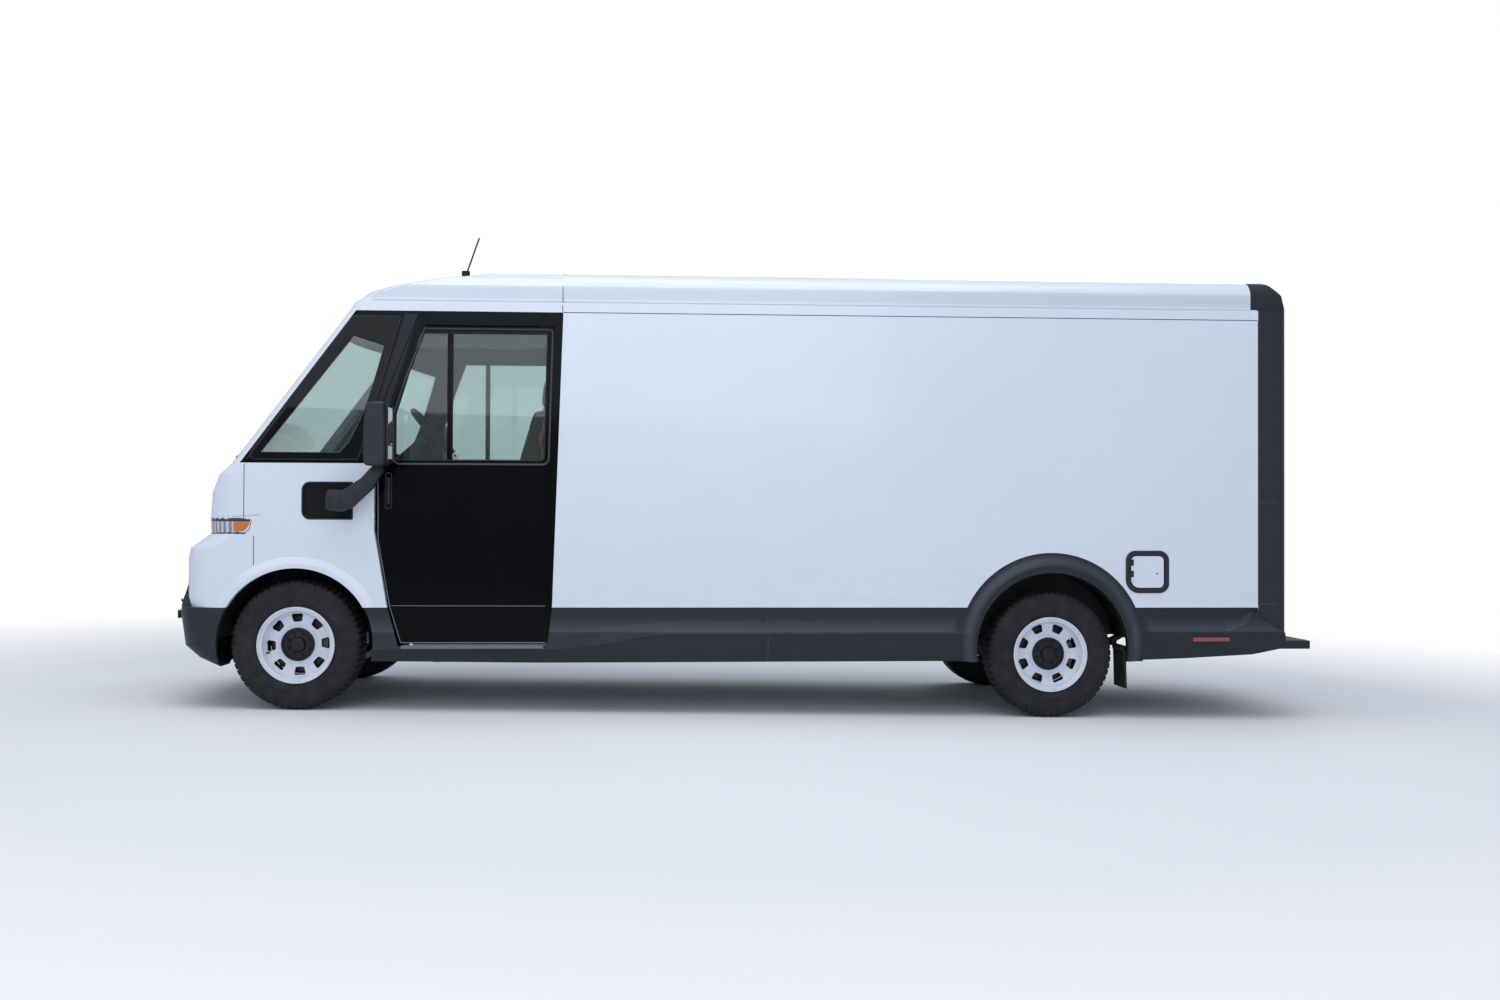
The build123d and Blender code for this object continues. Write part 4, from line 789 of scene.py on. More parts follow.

# Cab doors: window frame, painted highlight lines along the door's edges, seal with sash bars, latch, pull,
# lining and sill tread

DOOR_FRONT = [(764, 2355), (561, 1798), (481, 1557), (485, 1038), (557, 632), (627, 404)]
WINDOW = rounded([(740, 2318), (586, 1812), (586, 1525), (1500, 1525), (1520, 2318)],
                 (14, 60, 28, 28, 14))
WINDOW_RIM = rounded([(748, 2330), (586, 1812), (586, 1513), (1518, 1513), (1540, 2330)],
                     (14, 60, 34, 34, 14))
DOOR_END_X = 1513
SILL_Y = 1026
SASH_X = (906, 934)
LATCH = (952, 1558)
for side, name in SIDES:
    body = f"cab_door_{name}"
    bm = bmesh.new()
    band(bm, shifted(WINDOW_RIM, 2), shifted(WINDOW_RIM, 14), side * (DOOR_Y - 1), side * (DOOR_Y + 2.2))
    piece(f"window_frame_{name}", bm, "frame", body)
    # Painted highlight: light lines inside the door's front edge and along its foot.
    bm = bmesh.new()
    edge = [*DOOR_FRONT, (DOOR_END_X, 404)]
    stripe(bm, shifted(edge, -6, False), 5, side * (DOOR_Y - 1), side * (DOOR_Y + 1.6))
    stripe(bm, [(572, 636), (1508, 634)], 3.5, side * (DOOR_Y - 1), side * (DOOR_Y + 1.2))
    piece(f"door_edge_highlight_{name}", bm, "edge", body)
    bm = bmesh.new()
    for x in SASH_X:
        stripe(bm, [(x, 1526), (x, 2317)], 5, side * (DOOR_Y - 30), side * (DOOR_Y - 0.2))
    band(bm, shifted(WINDOW, -9), shifted(WINDOW, 3), side * (DOOR_Y - 24), side * (DOOR_Y + 0.6))
    piece(f"window_seal_{name}", bm, "seal", body)
    bm = bmesh.new()
    button(bm, *LATCH, side * (DOOR_Y - 22), side * (DOOR_Y - 12), 19)
    piece(f"sash_latch_{name}", bm, "bolt", body)
    bm = bmesh.new()
    button(bm, *LATCH, side * (DOOR_Y - 13), side * (DOOR_Y - 9), 8)
    grip = rounded(oblong(530, 573, 1228, 1452), 16)
    band(bm, shifted(grip, -7), grip, side * (DOOR_Y - 1), side * (DOOR_Y + 2.4))
    slab(bm, rounded(oblong(543, 560, 1256, 1424), 8), side * (DOOR_Y - 1), side * (DOOR_Y + 1.4))
    piece(f"door_pull_{name}", bm, "seal", body)
    bm = bmesh.new()
    for z in (676, 700):
        slab(bm, oblong(640, 1490, z, z + 12), side * (DOOR_Y - 43), side * (DOOR_Y - 39))
    slab(bm, rounded([(640, 900), (1470, 900), (1470, 1380), (700, 1380), (620, 1280)], 40),
         side * (DOOR_Y - 43), side * (DOOR_Y - 39))
    bevel(bm, 2)
    piece(f"door_lining_{name}", bm, "dash", body)
    bm = bmesh.new()
    slab(bm, oblong(642, 1502, 392, 396), side * (DOOR_Y + 9), side * SILL_Y)
    slab(bm, oblong(642, 1502, 378, 396), side * SILL_Y, side * (SILL_Y + 4.5))
    for k in range(5):
        y = DOOR_Y + 14 + 9 * k
        slab(bm, oblong(660, 1484, 396, 397.4), side * y, side * (y + 4))
    bevel(bm, 0.5, 1)
    piece(f"sill_tread_{name}", bm, "rail", "root")

# Pillar trim between the quarter glass and the door, and seals round the fixed glass

PILLAR_TRIM = [(392, 1560), (474, 1560), (554, 1812), (740, 2424), (648, 2424)]
bm = bmesh.new()
for side, _ in SIDES:
    outline = rounded(PILLAR_TRIM, (3, 3, 60, 3, 3))
    band(bm, shifted(outline, -7), outline, side * (HALF - 1), side * (HALF + 2.6), crown=0.6)
    slab(bm, shifted(outline, -6), side * (HALF - 1), side * (HALF + 2.6))
piece("pillar_trim", bm, "pillar", "root")
QUARTER = [(-300, 1529), (372, 1529), (628, 2405), (342, 2405)]
bm = bmesh.new()
for side, _ in SIDES:
    outline = rounded(QUARTER, (30, 12, 12, 30))
    band(bm, shifted(outline, -4), shifted(outline, 5), side * (HALF - 4), side * (HALF + 1.0))
piece("quarter_seal", bm, "seal", "root")

# Side vents: a framed hexagonal mesh

VENT = rounded(oblong(36, 346, 1161, 1393), (52, 8, 8, 52))
VENT_Y = 996
CELL = 21
CELL_RADIUS = CELL * 0.577
CELL_WALL = 2.1


def hexagon(x, z, radius):
    """Six corners round a point, the first above it."""
    return [(x + radius * sin(tau * k / 6), z + radius * cos(tau * k / 6)) for k in range(6)]


def comb(bm, y0, y1):
    """Hexagonal cells over the vent's outline."""
    for row in range(13):
        for col in range(17):
            x = 44 + CELL * (col + row % 2 / 2)
            z = 1170 + CELL * 0.866 * row
            corner = x < 70 and not 1195 < z < 1360
            if corner or not (40 < x < 336 and 1168 < z < 1386):
                continue
            band(bm, hexagon(x, z, CELL_RADIUS - CELL_WALL), hexagon(x, z, CELL_RADIUS), y0, y1, crown=0.2)


for side, name in SIDES:
    bm = bmesh.new()
    comb(bm, side * VENT_Y, side * (VENT_Y + 7))
    piece(f"vent_mesh_{name}", bm, "soft_black", "root", 40)
    bm = bmesh.new()
    band(bm, shifted(VENT, -13), shifted(VENT, -0.5), side * (VENT_Y - 2), side * (HALF + 3))
    piece(f"vent_frame_{name}", bm, "trim", "root")

# Mirrors: housing, rim round the glass, dog-leg arm with its foot on the vent, and the joints' rings

MIRROR_Y = (1120, 1310)
CASE = rounded([(594, 1483), (599, 1647), (592, 1866), (469, 1866), (458, 1638), (464, 1483)],
               (24, 0, 20, 44, 0, 24), 8)
ARM = [(303, 1216), (372, 1230), (498, 1352), (566, 1470), (486, 1478), (428, 1412), (314, 1336), (303, 1336)]
FOOT = [(226, 1341), (214, 1277), (221, 1222), (303, 1210), (346, 1236), (346, 1338)]
GLASS_X = 599
PIVOT = (524, 1160)
for side, name in SIDES:
    bm = bmesh.new()
    near, far = side * MIRROR_Y[0], side * MIRROR_Y[1]
    cheek = side * 26
    levels = [(near + cheek * share, grow) for share, grow in ((0, -16), (0.2, -9), (0.5, -3), (1, 0))]
    levels += [(far - cheek * share, grow) for share, grow in ((1, 0), (0.5, -3), (0.2, -9), (0, -16))]
    loft(bm, [[(min(x, GLASS_X), y, z) for x, z in shifted(CASE, grow)] for y, grow in levels])
    housing = piece(f"mirror_housing_{name}", bm, "trim", "root", 28)
    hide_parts("mirrors")
    bm = bmesh.new()
    y0, y1 = MIRROR_Y
    outline = rounded(oblong(y0 + 8, y1 - 8, 1500, 1848), 18)
    band(bm, shifted(outline, -9), outline, 0, 10)
    band(bm, [(y0 + 14, 1604), (y1 - 14, 1604)], [(y0 + 14, 1612), (y1 - 14, 1612)], 4, 9, False)
    turn = Matrix(((0, 1, 0, GLASS_X - 1), (side, 0, 0, 0), (0, 0, 1, 0), (0, 0, 0, 1)))
    bmesh.ops.transform(bm, matrix=turn, verts=bm.verts)
    piece(f"mirror_rim_{name}", bm, "seal", "root")
    bm = bmesh.new()
    slab(bm, ARM, side * (MIRROR_Y[0] + 14), side * (MIRROR_Y[0] + 66))
    bevel(bm, 13, 3, 50)
    slab(bm, FOOT, side * (VENT_Y + 2), side * (MIRROR_Y[0] + 62))
    bevel(bm, 9, 2, 50)
    x, y = PIVOT
    rod(bm, (x, side * y, 1440), (x, side * y, 1492), 34, 24, 30)
    piece(f"mirror_arm_{name}", bm, "trim", "root", 32)
    bm = bmesh.new()
    for z in (1450, 1478):
        rod(bm, (x, side * y, z), (x, side * y, z + 5), 35.5, 24)
    for x, z in ((246, 1300), (246, 1250), (318, 1312), (318, 1240)):
        rod(bm, (x, side * 1180, z), (x, side * 1184, z), 7, 12)
    piece(f"mirror_joints_{name}", bm, "seal", "root")

# Front face: grille and intake slats, lamp bezels, number plate, bumper fittings and wiper arms

bm = bmesh.new()
for z in (1100, 1121, 1142):
    girdle(bm, all_sides, z, (-31, 31), 7, 5, 7)
for z in (440, 468, 496):
    girdle(bm, all_sides, z, (-24, 24), 8, 4, 8)
piece("grille_slats", bm, "trim", "root")
bm = bmesh.new()
girdle(bm, all_sides, 1122, (-33, 33), 72, 1, 3)
girdle(bm, all_sides, 468, (-26, 26), 92, 1, 3)
piece("grille_back", bm, "gloss", "root")
bm = bmesh.new()
for side, _ in SIDES:
    bearings = (side * 33.5, side * 59.5)
    for z in (1076, 1166):
        girdle(bm, all_sides, z, bearings, 5, 1.2, 4)
    side_strip(bm, all_sides, [(-470, 1080), (-302, 1080), (-272, 1104), (-262, 1158)], 4, side, 1.0)
piece("lamp_bezels", bm, "seal", "root")
bm = bmesh.new()
slab(bm, [(-866, 596), (-858, 594), (-815, 748), (-823, 750)], -160, 160)
bevel(bm, 2)
piece("plate_bracket", bm, "soft_black", "root")
bm = bmesh.new()
slab(bm, [(-868, 602), (-866.5, 602), (-826, 744), (-827.5, 744)], -152, 152)
piece("plate_blank_front", bm, "plate", "root")
bm = bmesh.new()
for y in (-640, 640):
    slab(bm, oblong(-806, -790, 540, 590), y - 30, y + 30)
bevel(bm, 3)
for y in (-700, -260, 260, 700):
    x = y * y / 5200 - 862
    rod(bm, (x, y, 655), (x - 4, y, 655), 11, 20, 9)
piece("bumper_fittings", bm, "trim", "root")

screen = surface("windscreen", "cab_frame", "hood")
bm = bmesh.new()
for y0, y1 in ((-330, -350), (350, 330)):
    path = []
    for share in (0, 0.25, 0.5, 0.75, 1):
        start = Vector((-1500, y0 + (y1 - y0) * share, 1512 + 50 * share))
        hit, _, _, _ = screen.ray_cast(start, Vector((1, 0, 0)))
        path.append(hit + Vector((-1, 0, 0.3)).normalized() * (9 + 12 * share))
    tube(bm, path, 7)
    rod(bm, path[0] + Vector((16, 0, -8)), path[0] + Vector((-8, 0, 6)), 20, 20, 15)
piece("wiper_arms", bm, "soft_black", "root")

# Roof fittings: aerial foot, studs, and the high lamp with the reversing camera

bm = bmesh.new()
foot = over(all_sides, 963, -600)
rod(bm, foot + Vector((0, 0, -6)), foot + Vector((1.5, 0, 12)), 30, 28, 22)
for x in (1160, 1226):
    at = over(all_sides, x, -600)
    rod(bm, at + Vector((0, 0, -4)), at + Vector((0, 0, 9)), 13, 16, 9)
piece("roof_studs", bm, "soft_black", "root")
bm = bmesh.new()
slab(bm, [(6150, 2520), (6176, 2508), (6181, 2478), (6160, 2474)], -150, 150)
bevel(bm, 4)
slab(bm, [(6166, 2462), (6196, 2456), (6196, 2424), (6166, 2424)], -34, 34)
bevel(bm, 5)
piece("high_lamp_housing", bm, "soft_black", "root")
bm = bmesh.new()
slab(bm, [(6177, 2512), (6182, 2512), (6185, 2486), (6180, 2486)], -136, 136)
piece("high_lamp_lens", bm, "red", "root")
bm = bmesh.new()
rod(bm, (6192, 0, 2438), (6199, 0, 2438), 12, 24, 9)
piece("camera_lens", bm, "screen", "root")

# Rear face: door seals, pressings, hinge bolts, handle, lock rods, plate and tail lamp bezels

REAR = 6170
REAR_FACE = Matrix(((0, 1, 0, REAR), (1, 0, 0, 0), (0, 0, 1, 0), (0, 0, 0, 1)))


def to_rear(bm):
    """Carry outlines drawn in y, z, and raised along y, onto the rear face."""
    bmesh.ops.transform(bm, matrix=REAR_FACE, verts=bm.verts)


bm = bmesh.new()
outline = rounded(oblong(-856, 856, 646, 2378), 26)
band(bm, shifted(outline, -7), shifted(outline, 1), -12, -2)
to_rear(bm)
piece("rear_opening_seal", bm, "seal", "root")
for side, name in SIDES:
    body = f"rear_door_{name}"
    near, far = (4, 850) if side > 0 else (-850, -4)
    bm = bmesh.new()
    for z0, z1 in ((690, 1180), (1330, 1460), (1560, 2310)):
        panel = rounded(oblong(near + 90, far - 90, z0, z1), 40)
        band(bm, shifted(panel, -16), panel, -1, 3.5)
    to_rear(bm)
    piece(f"rear_door_pressing_{name}", bm, "white", body)
    bm = bmesh.new()
    edge = oblong(near + 3, far - 3, 655, 2369)
    band(bm, shifted(edge, -9), edge, -44, -52)
    to_rear(bm)
    for z in (900, 1500, 2150):
        for y in (762, 812):
            rod(bm, (REAR + 7, side * y, z - 31), (REAR + 13, side * y, z - 31), 9, 6, 8)
    piece(f"rear_door_seal_{name}", bm, "seal", body)
bm = bmesh.new()
cup = rounded(oblong(40, 190, 1190, 1310), 22)
band(bm, shifted(cup, -14), cup, -1, 7)
slab(bm, shifted(cup, -12), -1, 2)
slab(bm, rounded(oblong(99, 131, 1206, 1294), 12), 2, 19)
to_rear(bm)
piece("rear_door_handle", bm, "soft_black", "rear_door_right")
bm = bmesh.new()
for z0, z1 in ((1310, 2340), (690, 1190)):
    rod(bm, (REAR + 9, 30, z0), (REAR + 9, 30, z1), 7, 12)
for z in (720, 1000, 1480, 1800, 2100, 2310):
    slab(bm, oblong(REAR - 1, REAR + 17, z - 9, z + 9), 16, 44)
piece("rear_lock_rods", bm, "bolt", "rear_door_right")
bm = bmesh.new()
slab(bm, oblong(REAR - 1, REAR + 8, 1068, 1236), -610, -290)
slab(bm, [(REAR + 2, 1240), (REAR + 26, 1246), (REAR + 26, 1262), (REAR + 2, 1270)], -520, -380)
bevel(bm, 3)
piece("plate_mount_rear", bm, "soft_black", "rear_door_left")
bm = bmesh.new()
slab(bm, oblong(REAR + 8, REAR + 9.5, 1076, 1228), -602, -298)
piece("plate_blank_rear", bm, "plate", "rear_door_left")
bm = bmesh.new()
for side, _ in SIDES:
    y0, y1 = sorted((side * 880, side * 946))
    outline = rounded(oblong(y0, y1, 1560, 2060), 10)
    band(bm, shifted(outline, -1), shifted(outline, 7), -2, 2.5)
to_rear(bm)
piece("tail_lamp_bezels", bm, "seal", "root")

# Rear step: a ribbed tread and its brackets; mud flap brackets

bm = bmesh.new()
for k in range(17):
    x = 6184 + 12.4 * k
    slab(bm, [(x, 401), (x + 6, 401), (x + 5, 405), (x + 1, 405)], -806, 806)
for y in range(-760, 761, 190):
    slab(bm, oblong(6182, 6392, 401, 405.5), y - 3, y + 3)
piece("step_tread", bm, "rail", "root")
bm = bmesh.new()
for y in (-560, 560):
    slab(bm, [(6060, 392), (6172, 372), (6380, 352), (6380, 336), (6172, 336), (6060, 366)], y - 12, y + 12)
bevel(bm, 2)
piece("step_brackets", bm, "chassis", "root")
bm = bmesh.new()
for side, _ in SIDES:
    slab(bm, [(5126, 348), (5144, 348), (5146, 384), (5124, 384)], side * 745, side * 975)
    slab(bm, oblong(5120, 5152, 368, 400), side * 700, side * 760)
    for y in (780, 860, 940):
        rod(bm, (5120, side * y, 364), (5150, side * y, 364), 7, 6)
bevel(bm, 1.5)
piece("flap_brackets", bm, "chassis", "root")

# Charge port: the ring round its door, the door's lock, and the socket's ring and pins

CHARGE = rounded(oblong(5164, 5372, 752, 950), (50, 30, 30, 30))
SOCKET = Vector((5268, 0, 851))
bm = bmesh.new()
band(bm, shifted(CHARGE, 6), shifted(CHARGE, 33), -HALF - 1, -HALF - 7, crown=0.25)
piece("charge_ring", bm, "trim", "root")
bm = bmesh.new()
button(bm, 5329, 840, -HALF - 1.5, -HALF - 4, 5.5)
piece("charge_lock", bm, "seal", "charge_door")
bm = bmesh.new()
ring = [(SOCKET + polar(38, tau * k / 32)).xz for k in range(32)]
band(bm, shifted(ring, -7), shifted(ring, 3), -HALF + 24, -HALF + 18)
for k in range(7):
    radius = 0 if k == 6 else 13
    turn = tau * k / 7
    rod(bm, SOCKET + polar(radius, turn, -HALF + 56), SOCKET + polar(radius, turn, -HALF + 34), 2.6, 10)
piece("charge_socket_ring", bm, "seal", "root")

# Cab interior: instrument hood, screens, mat, vents, pedals, belt, steering wheel and stalks

bm = bmesh.new()
hood = [(296, 1470), (392, 1452), (420, 1520), (404, 1580), (352, 1592), (300, 1540)]
slab(bm, rounded(hood, 14), -640, -262)
bevel(bm, 8, 2)
slab(bm, rounded([(330, 1478), (392, 1448), (406, 1610), (384, 1618)], 8), -190, 190)
bevel(bm, 5, 2)
piece("instrument_hood", bm, "dash", "root")
bm = bmesh.new()
slab(bm, [(407, 1486), (410, 1486), (410, 1600), (404, 1600)], -176, 176)
slab(bm, [(411, 1500), (421, 1522), (412, 1562), (404, 1562)], -610, -292)
piece("cab_screens", bm, "screen", "root")
bm = bmesh.new()
slab(bm, [(-190, 1482), (300, 1497), (300, 1500), (-190, 1486)], -880, 880)
piece("dash_top_mat", bm, "mat", "root")
bm = bmesh.new()
for y in (-820, -700, -230, 230, 560, 780):
    slab(bm, rounded([(382, 1380), (400, 1380), (404, 1440), (386, 1446)], 4), y - 44, y + 44)
for x, y, wide in ((560, -500, 60), (540, -400, 42)):
    slab(bm, [(x - 14, 790), (x + 6, 790), (x + 38, 880), (x + 22, 886)], y - wide / 2, y + wide / 2)
bevel(bm, 3)
piece("dash_vents_and_pedals", bm, "seal", "root")
bm = bmesh.new()
slab(bm, [(1446, 1662), (1452, 1670), (1528, 1180), (1516, 1180)], -700, -652)
bevel(bm, 1)
tube(bm, [(1560, -720, 2080), (1520, -712, 1900), (1450, -690, 1668)], 14, 8)
piece("seat_belt", bm, "belt", "root")
SEAT_Y = -450
HELM = Vector((740, SEAT_Y, 1725))
GRIP_RADIUS = 190
GRIP_THICK = 18
helm_dir = Vector((cos(radians(42)), 0, sin(radians(42))))
bm = bmesh.new()
turn = Matrix.Translation(HELM) @ helm_dir.to_track_quat("Y", "Z").to_matrix().to_4x4()
grip = [polar(GRIP_THICK, tau * k / 12) for k in range(12)]
lathe(bm, [(point.z, GRIP_RADIUS + point.x) for point in grip], 56, True)
lathe(bm, [(-34, 0.001), (-34, 66), (6, 70), (16, 56), (19, 0.001)], 32)
bmesh.ops.transform(bm, matrix=turn, verts=bm.verts)
across = Vector((0, 1, 0))
down = helm_dir.cross(across)
for way in (across, -across, down if down.z < 0 else -down):
    rod(bm, HELM + way * 50 - helm_dir * 6, HELM + way * 184 - helm_dir * 2, 18, 12, 12)
helm_rim = piece("steering_rim", bm, "dash", "steering_wheel", 50)
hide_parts("steering_wheel")
bm = bmesh.new()
stalk_root = HELM - helm_dir * 70
for side, _ in SIDES:
    rod(bm, stalk_root, stalk_root + across * side * 165 + helm_dir * 18, 8, 12, 6)
piece("column_stalks", bm, "seal", "root")

# Driver's seat: padded base, back and headrest on a steel pedestal

VOXEL = 0.015
CLOTH_FRAMES = 20
SEAM_SPREAD = 6
HALF_SEAT = 242


def finished_mesh(made):
    """An object's mesh with its modifiers worked in."""
    return bpy.data.meshes.new_from_object(made.evaluated_get(bpy.context.evaluated_depsgraph_get()))


def stuffed(name, outline, y0, y1, cap, seams, taper=None):
    """A padded piece: a remeshed slab swollen as cloth under pressure, with seams pressed in afterwards.

    cap is how far in mm the cloth may swell; seams are (distance from the seam, depth in mm); taper is the
    height where the piece starts to narrow, the height of its top and how much narrower the top is.
    """
    bm = bmesh.new()
    slab(bm, outline, y0, y1)
    bevel(bm, 22, 3, 50)
    bmesh.ops.triangulate(bm, faces=bm.faces)
    if taper:
        level, top, share = taper
        for v in bm.verts:
            rise = min(max((v.co.z - level) / (top - level), 0), 1)
            v.co.y = SEAT_Y + (v.co.y - SEAT_Y) * (1 - share * rise * rise)
    made = piece(name, bm, "seat", "root")
    remesh = made.modifiers.new("remesh", "REMESH")
    remesh.mode = "VOXEL"
    remesh.voxel_size = VOXEL
    made.data = finished_mesh(made)
    made.modifiers.clear()
    cloth = made.modifiers.new("cloth", "CLOTH")
    cloth.settings.use_pressure = True
    cloth.settings.uniform_pressure_force = 4
    cloth.settings.effector_weights.gravity = 0
    for step in range(1, CLOTH_FRAMES + 1):
        bpy.context.scene.frame_set(step)
    swollen = finished_mesh(made)
    made.modifiers.clear()
    bpy.context.scene.frame_set(1)
    for point, goal in zip(made.data.vertices, swollen.vertices):
        move = goal.co - point.co
        point.co += move * min(1, cap / 1000 / max(move.length, 1e-6))
    bpy.data.meshes.remove(swollen)
    smooth = made.modifiers.new("smooth", "SUBSURF")
    smooth.levels = smooth.render_levels = 1
    made.data = finished_mesh(made)
    made.modifiers.clear()
    normals = [point.normal.copy() for point in made.data.vertices]
    for point, normal in zip(made.data.vertices, normals):
        at = VAN @ point.co
        deep = sum(depth * exp(-(seam(at) / SEAM_SPREAD) ** 2) for seam, depth in seams)
        point.co -= normal * deep / 1000
    for face in made.data.polygons:
        face.use_smooth = True
    made.data.materials.clear()
    made.data.materials.append(M["seat"])
    return made


BASE = rounded([(766, 1100), (772, 1194), (1205, 1174), (1296, 1180), (1296, 1100)], (18, 34, 40, 20, 18))
BACK = rounded([(1216, 1166), (1316, 1530), (1408, 1874), (1486, 1866), (1446, 1600), (1316, 1108)],
               (20, 200, 34, 28, 200, 20))
REST = rounded([(1446, 1890), (1464, 2060), (1520, 2066), (1510, 1960), (1494, 1884)], (14, 16, 16, 30, 12))
LENGTHWISE = [(lambda at: abs(abs(at.y - SEAT_Y) - 128), 6)]
base = stuffed("seat_base", BASE, SEAT_Y - HALF_SEAT, SEAT_Y + HALF_SEAT, 9,
               LENGTHWISE + [(lambda at: abs(at.x - 900), 4), (lambda at: abs(at.z - 1128), 3)])
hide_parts("driver_seat")
stuffed("seat_back", BACK, SEAT_Y - HALF_SEAT, SEAT_Y + HALF_SEAT, 9,
        LENGTHWISE + [(lambda at: abs(at.z - 1500), 4), (lambda at: abs(at.z - 1740), 4)],
        (1560, 1870, 0.28))
stuffed("seat_headrest", REST, SEAT_Y - 118, SEAT_Y + 118, 7,
        [(lambda at: abs(abs(at.y - SEAT_Y) - 84), 4)])
bm = bmesh.new()
for y in (SEAT_Y - 52, SEAT_Y + 52):
    rod(bm, (1440, y, 1838), (1474, y, 1930), 6, 12)
piece("headrest_posts", bm, "bolt", "root")
bm = bmesh.new()
slab(bm, rounded([(868, 728), (904, 1066), (1216, 1066), (1252, 728)], 14), SEAT_Y - 185, SEAT_Y + 185)
bevel(bm, 6)
for y in (SEAT_Y - 165, SEAT_Y + 165):
    slab(bm, oblong(790, 1270, 1066, 1098), y - 16, y + 16)
hinge_cover = rounded([(1150, 1090), (1350, 1100), (1330, 1196), (1230, 1210), (1150, 1160)], 20)
for side, _ in SIDES:
    slab(bm, hinge_cover, SEAT_Y + side * (HALF_SEAT + 2), SEAT_Y + side * (HALF_SEAT + 20))
piece("seat_pedestal", bm, "chassis", "root")

# Underbody: battery tray, dust shields, brake calipers, axle boots, springs, dampers and drive unit ribs

bm = bmesh.new()
for x in range(760, 3900, 390):
    slab(bm, [(x, 263), (x + 60, 263), (x + 52, 252), (x + 8, 252)], -580, 580)
for y in (-400, 0, 400):
    slab(bm, [(660, 263), (3940, 263), (3930, 256), (670, 256)], y - 14, y + 14)
for side, _ in SIDES:
    slab(bm, oblong(650, 3950, 424, 434), side * 594, side * 624)
bevel(bm, 2)
piece("battery_tray_ribs", bm, "battery", "root")
bm = bmesh.new()
for side, _ in SIDES:
    for x in range(690, 3911, 230):
        for z0, z1 in ((418, 425), (434, 440)):
            rod(bm, (x, side * 612, z0), (x, side * 612, z1), 9, 6)
piece("battery_tray_bolts", bm, "bolt", "root")


def caliper(bm, x, z, side):
    """A brake caliper to the rear of the axle: a half on each side of the disc and a bridge over its edge."""
    axle = Vector((x, 0, z))
    arc = [radians(degrees) for degrees in range(-26, 27, 13)]
    for y0, y1, inner in ((800, 826, 118), (852, 874, 118), (800, 874, 171)):
        outline = [(axle + polar(184, turn)).xz for turn in arc]
        outline += [(axle + polar(inner, turn)).xz for turn in reversed(arc)]
        slab(bm, outline, side * y0, side * y1)
    for lift in (-34, 34):
        rod(bm, (x + 146, side * 776, z + lift), (x + 146, side * 802, z + lift), 20, 20, 23)


def dust_shield(name, body, x, z, side):
    """A thin plate round the brake disc, just clear of the inside of the rim."""
    bm = bmesh.new()
    near, far = side * 821, side * 825
    lathe(bm, [(near, 96), (near, 186), (far, 186), (far, 96)], 48, True, (x, z))
    piece(name, bm, "chassis", body)


for side, name in SIDES:
    carriers = (f"knuckle_{name}", "root")
    for (axle, x, z), carrier in zip(AXLES, carriers):
        dust_shield(f"dust_shield_{axle}_{name}", carrier, x, z, side)
    for (axle, x, z), carrier in zip(AXLES, carriers):
        bm = bmesh.new()
        caliper(bm, x, z, side)
        bevel(bm, 2, 1, 60)
        piece(f"brake_caliper_{axle}_{name}", bm, "iron", carrier)
bm = bmesh.new()
for side, _ in SIDES:
    folds = [(470 + 12 * k, 46 - 2.2 * k + (4 if k % 2 else -3)) for k in range(9)]
    lathe(bm, [(side * y, radius) for y, radius in [(462, 21), *folds, (572, 21)]], 28, at=(0, AXLE_Z))
piece("axle_boots", bm, "seal", "root")

SPRING_Y = 635
SPRING_LONG = 620
LEAF_THICK = 9


def leaf(bm, y, share, drop):
    """One leaf under the spring's main leaf, as long as its share of it."""
    ends = SPRING_LONG * share
    low = REAR_Z - 76 - drop
    rise = 522 - REAR_Z
    line = [(REAR_X + ends * t / 8, low + rise * (share * t / 8) ** 2) for t in range(-8, 9)]
    slab(bm, line + [(x, z - LEAF_THICK) for x, z in reversed(line)], y - 30, y + 30)


bm = bmesh.new()
for side, _ in SIDES:
    for k, share in enumerate((0.72, 0.5, 0.3)):
        leaf(bm, side * SPRING_Y, share, 11 * k)
    for x in (REAR_X - SPRING_LONG, REAR_X + SPRING_LONG):
        rod(bm, (x, side * (SPRING_Y - 38), 464), (x, side * (SPRING_Y + 38), 464), 24, 20)
piece("spring_leaves", bm, "iron", "root")
bm = bmesh.new()
for side, _ in SIDES:
    for x in (REAR_X - 58, REAR_X + 58):
        for y in (SPRING_Y - 40, SPRING_Y + 40):
            rod(bm, (x, side * y, REAR_Z - 122), (x, side * y, REAR_Z + 52), 8, 12)
        rod(bm, (x, side * (SPRING_Y - 40), REAR_Z + 52), (x, side * (SPRING_Y + 40), REAR_Z + 52), 8, 12)
    brick(bm, REAR_X - 78, REAR_X + 78, side * SPRING_Y - 50, side * SPRING_Y + 50, REAR_Z - 124,
          REAR_Z - 110)
    rod(bm, (REAR_X + 90, side * 540, REAR_Z - 20), (REAR_X + 250, side * 570, 590), 30, 20)
    rod(bm, (REAR_X + 60, side * 534, REAR_Z - 70), (REAR_X + 100, side * 542, REAR_Z + 10), 22, 20)
piece("spring_clamps_and_dampers", bm, "chassis", "root")
bm = bmesh.new()
for y in (-190, -95, 0, 95, 190):
    slab(bm, oblong(-214, -208, 330, 590), y - 6, y + 6)
    slab(bm, oblong(190, 198, 330, 590), y - 6, y + 6)
for x in (-150, -50, 50, 150):
    slab(bm, oblong(x - 6, x + 6, 292, 300), -240, 240)
bevel(bm, 1.5)
piece("drive_unit_ribs", bm, "cast", "root")

# Lights, floor and camera

scene = bpy.context.scene
scene.view_settings.view_transform = "Standard"


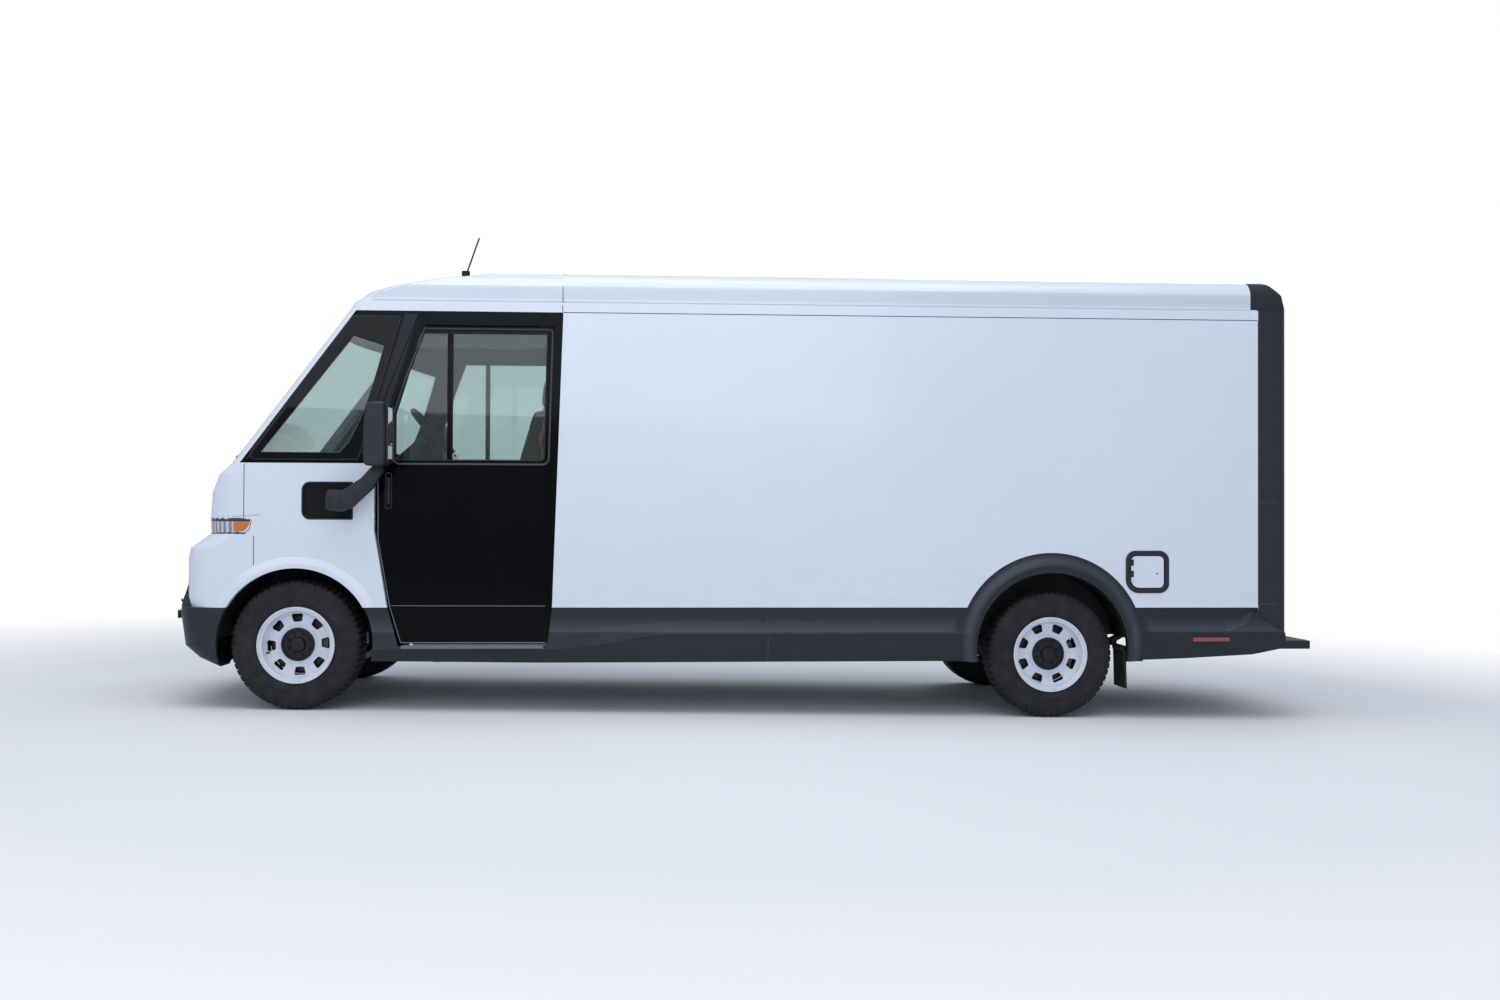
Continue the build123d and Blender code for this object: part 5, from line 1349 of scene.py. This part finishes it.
def seen_rays(tree):
    """1 for a ray from the camera, straight or through glass, and 0 for any other."""
    rays = tree.nodes.new("ShaderNodeLightPath")
    either = tree.nodes.new("ShaderNodeMath")
    either.operation = "MAXIMUM"
    tree.links.new(rays.outputs["Is Camera Ray"], either.inputs[0])
    tree.links.new(rays.outputs["Is Transmission Ray"], either.inputs[1])
    return either.outputs[0]


world = bpy.data.worlds.new("soft_sky")
scene.world = world
world.use_nodes = True
sky = world.node_tree
sky.nodes.clear()
seen = sky.nodes.new("ShaderNodeBackground")
lit = sky.nodes.new("ShaderNodeBackground")
mix = sky.nodes.new("ShaderNodeMixShader")
out = sky.nodes.new("ShaderNodeOutputWorld")
seen.inputs["Color"].default_value = (1, 1, 1, 1)
lit.inputs["Color"].default_value = (0.78, 0.86, 1.0, 1)
lit.inputs["Strength"].default_value = 0.6
sky.links.new(seen_rays(sky), mix.inputs[0])
sky.links.new(lit.outputs[0], mix.inputs[1])
sky.links.new(seen.outputs[0], mix.inputs[2])
sky.links.new(mix.outputs[0], out.inputs[0])


def area_light(name, at, aim, size, power, colour):
    """A rectangular lamp turned towards a point."""
    data = bpy.data.lights.new(name, "AREA")
    data.shape = "RECTANGLE"
    data.size, data.size_y = size
    data.energy = power
    data.color = colour
    made = bpy.data.objects.new(name, data)
    scene.collection.objects.link(made)
    made.location = at
    made.rotation_mode = "QUATERNION"
    made.rotation_quaternion = (Vector(aim) - Vector(at)).to_track_quat("-Z", "Y")


area_light("sky_panel", (-1.5, -3.0, 9.0), (0, 0, 1.0), (11, 7), 430, (1.0, 0.98, 0.95))
area_light("side_panel", (-3.0, -12.0, 5.0), (0, 0, 1.2), (12, 5), 290, (0.92, 0.96, 1.0))
area_light("back_panel", (6.0, 8.0, 6.0), (0, 0, 1.0), (8, 5), 200, (1.0, 0.98, 0.95))

bm = bmesh.new()
bmesh.ops.create_grid(bm, x_segments=1, y_segments=1, size=60)
mesh = bpy.data.meshes.new("floor")
bm.to_mesh(mesh)
bm.free()
# The floor takes the van's shadow near it, and fades to the backdrop's white further out.
floor_paint = bpy.data.materials.new("pale_floor")
floor_paint.use_nodes = True
ground = floor_paint.node_tree
matt = ground.nodes["Principled BSDF"]
matt.inputs["Base Color"].default_value = (0.80, 0.81, 0.83, 1)
matt.inputs["Roughness"].default_value = 0.9
place = ground.nodes.new("ShaderNodeTexCoord")
reach = ground.nodes.new("ShaderNodeVectorMath")
reach.operation = "LENGTH"
fade = ground.nodes.new("ShaderNodeMapRange")
fade.inputs["From Min"].default_value = 5.0
fade.inputs["From Max"].default_value = 9.0
share = ground.nodes.new("ShaderNodeMath")
share.operation = "MULTIPLY"
bright = ground.nodes.new("ShaderNodeEmission")
both = ground.nodes.new("ShaderNodeMixShader")
ground.links.new(place.outputs["Object"], reach.inputs[0])
ground.links.new(reach.outputs["Value"], fade.inputs["Value"])
ground.links.new(fade.outputs[0], share.inputs[0])
ground.links.new(seen_rays(ground), share.inputs[1])
ground.links.new(share.outputs[0], both.inputs[0])
ground.links.new(matt.outputs[0], both.inputs[1])
ground.links.new(bright.outputs[0], both.inputs[2])
ground.links.new(both.outputs[0], ground.nodes["Material Output"].inputs["Surface"])
mesh.materials.append(floor_paint)
floor = bpy.data.objects.new("stage_floor", mesh)
scene.collection.objects.link(floor)

# The camera is fitted to the photo: its place in metres, and its turns in radians.
CAMERA = ((2232.996 - MID_X) / 1000, -10.013453, 1.222351)
YAW, PITCH, ROLL = 0.0577968, 0.0120014, 0.0176065
ahead = Vector((sin(YAW) * cos(PITCH), cos(YAW) * cos(PITCH), sin(PITCH)))
right = Vector((cos(YAW), -sin(YAW), 0))
up = right.cross(ahead)
turned_right = right * cos(ROLL) + up * sin(ROLL)
turned_up = up * cos(ROLL) - right * sin(ROLL)
lens = bpy.data.cameras.new("camera")
lens.sensor_width = 36
lens.lens = 35
lens.clip_end = 200
camera = bpy.data.objects.new("camera", lens)
scene.collection.objects.link(camera)
turn = Matrix((turned_right, turned_up, -ahead)).transposed().to_4x4()
camera.matrix_world = Matrix.Translation(CAMERA) @ turn
scene.camera = camera
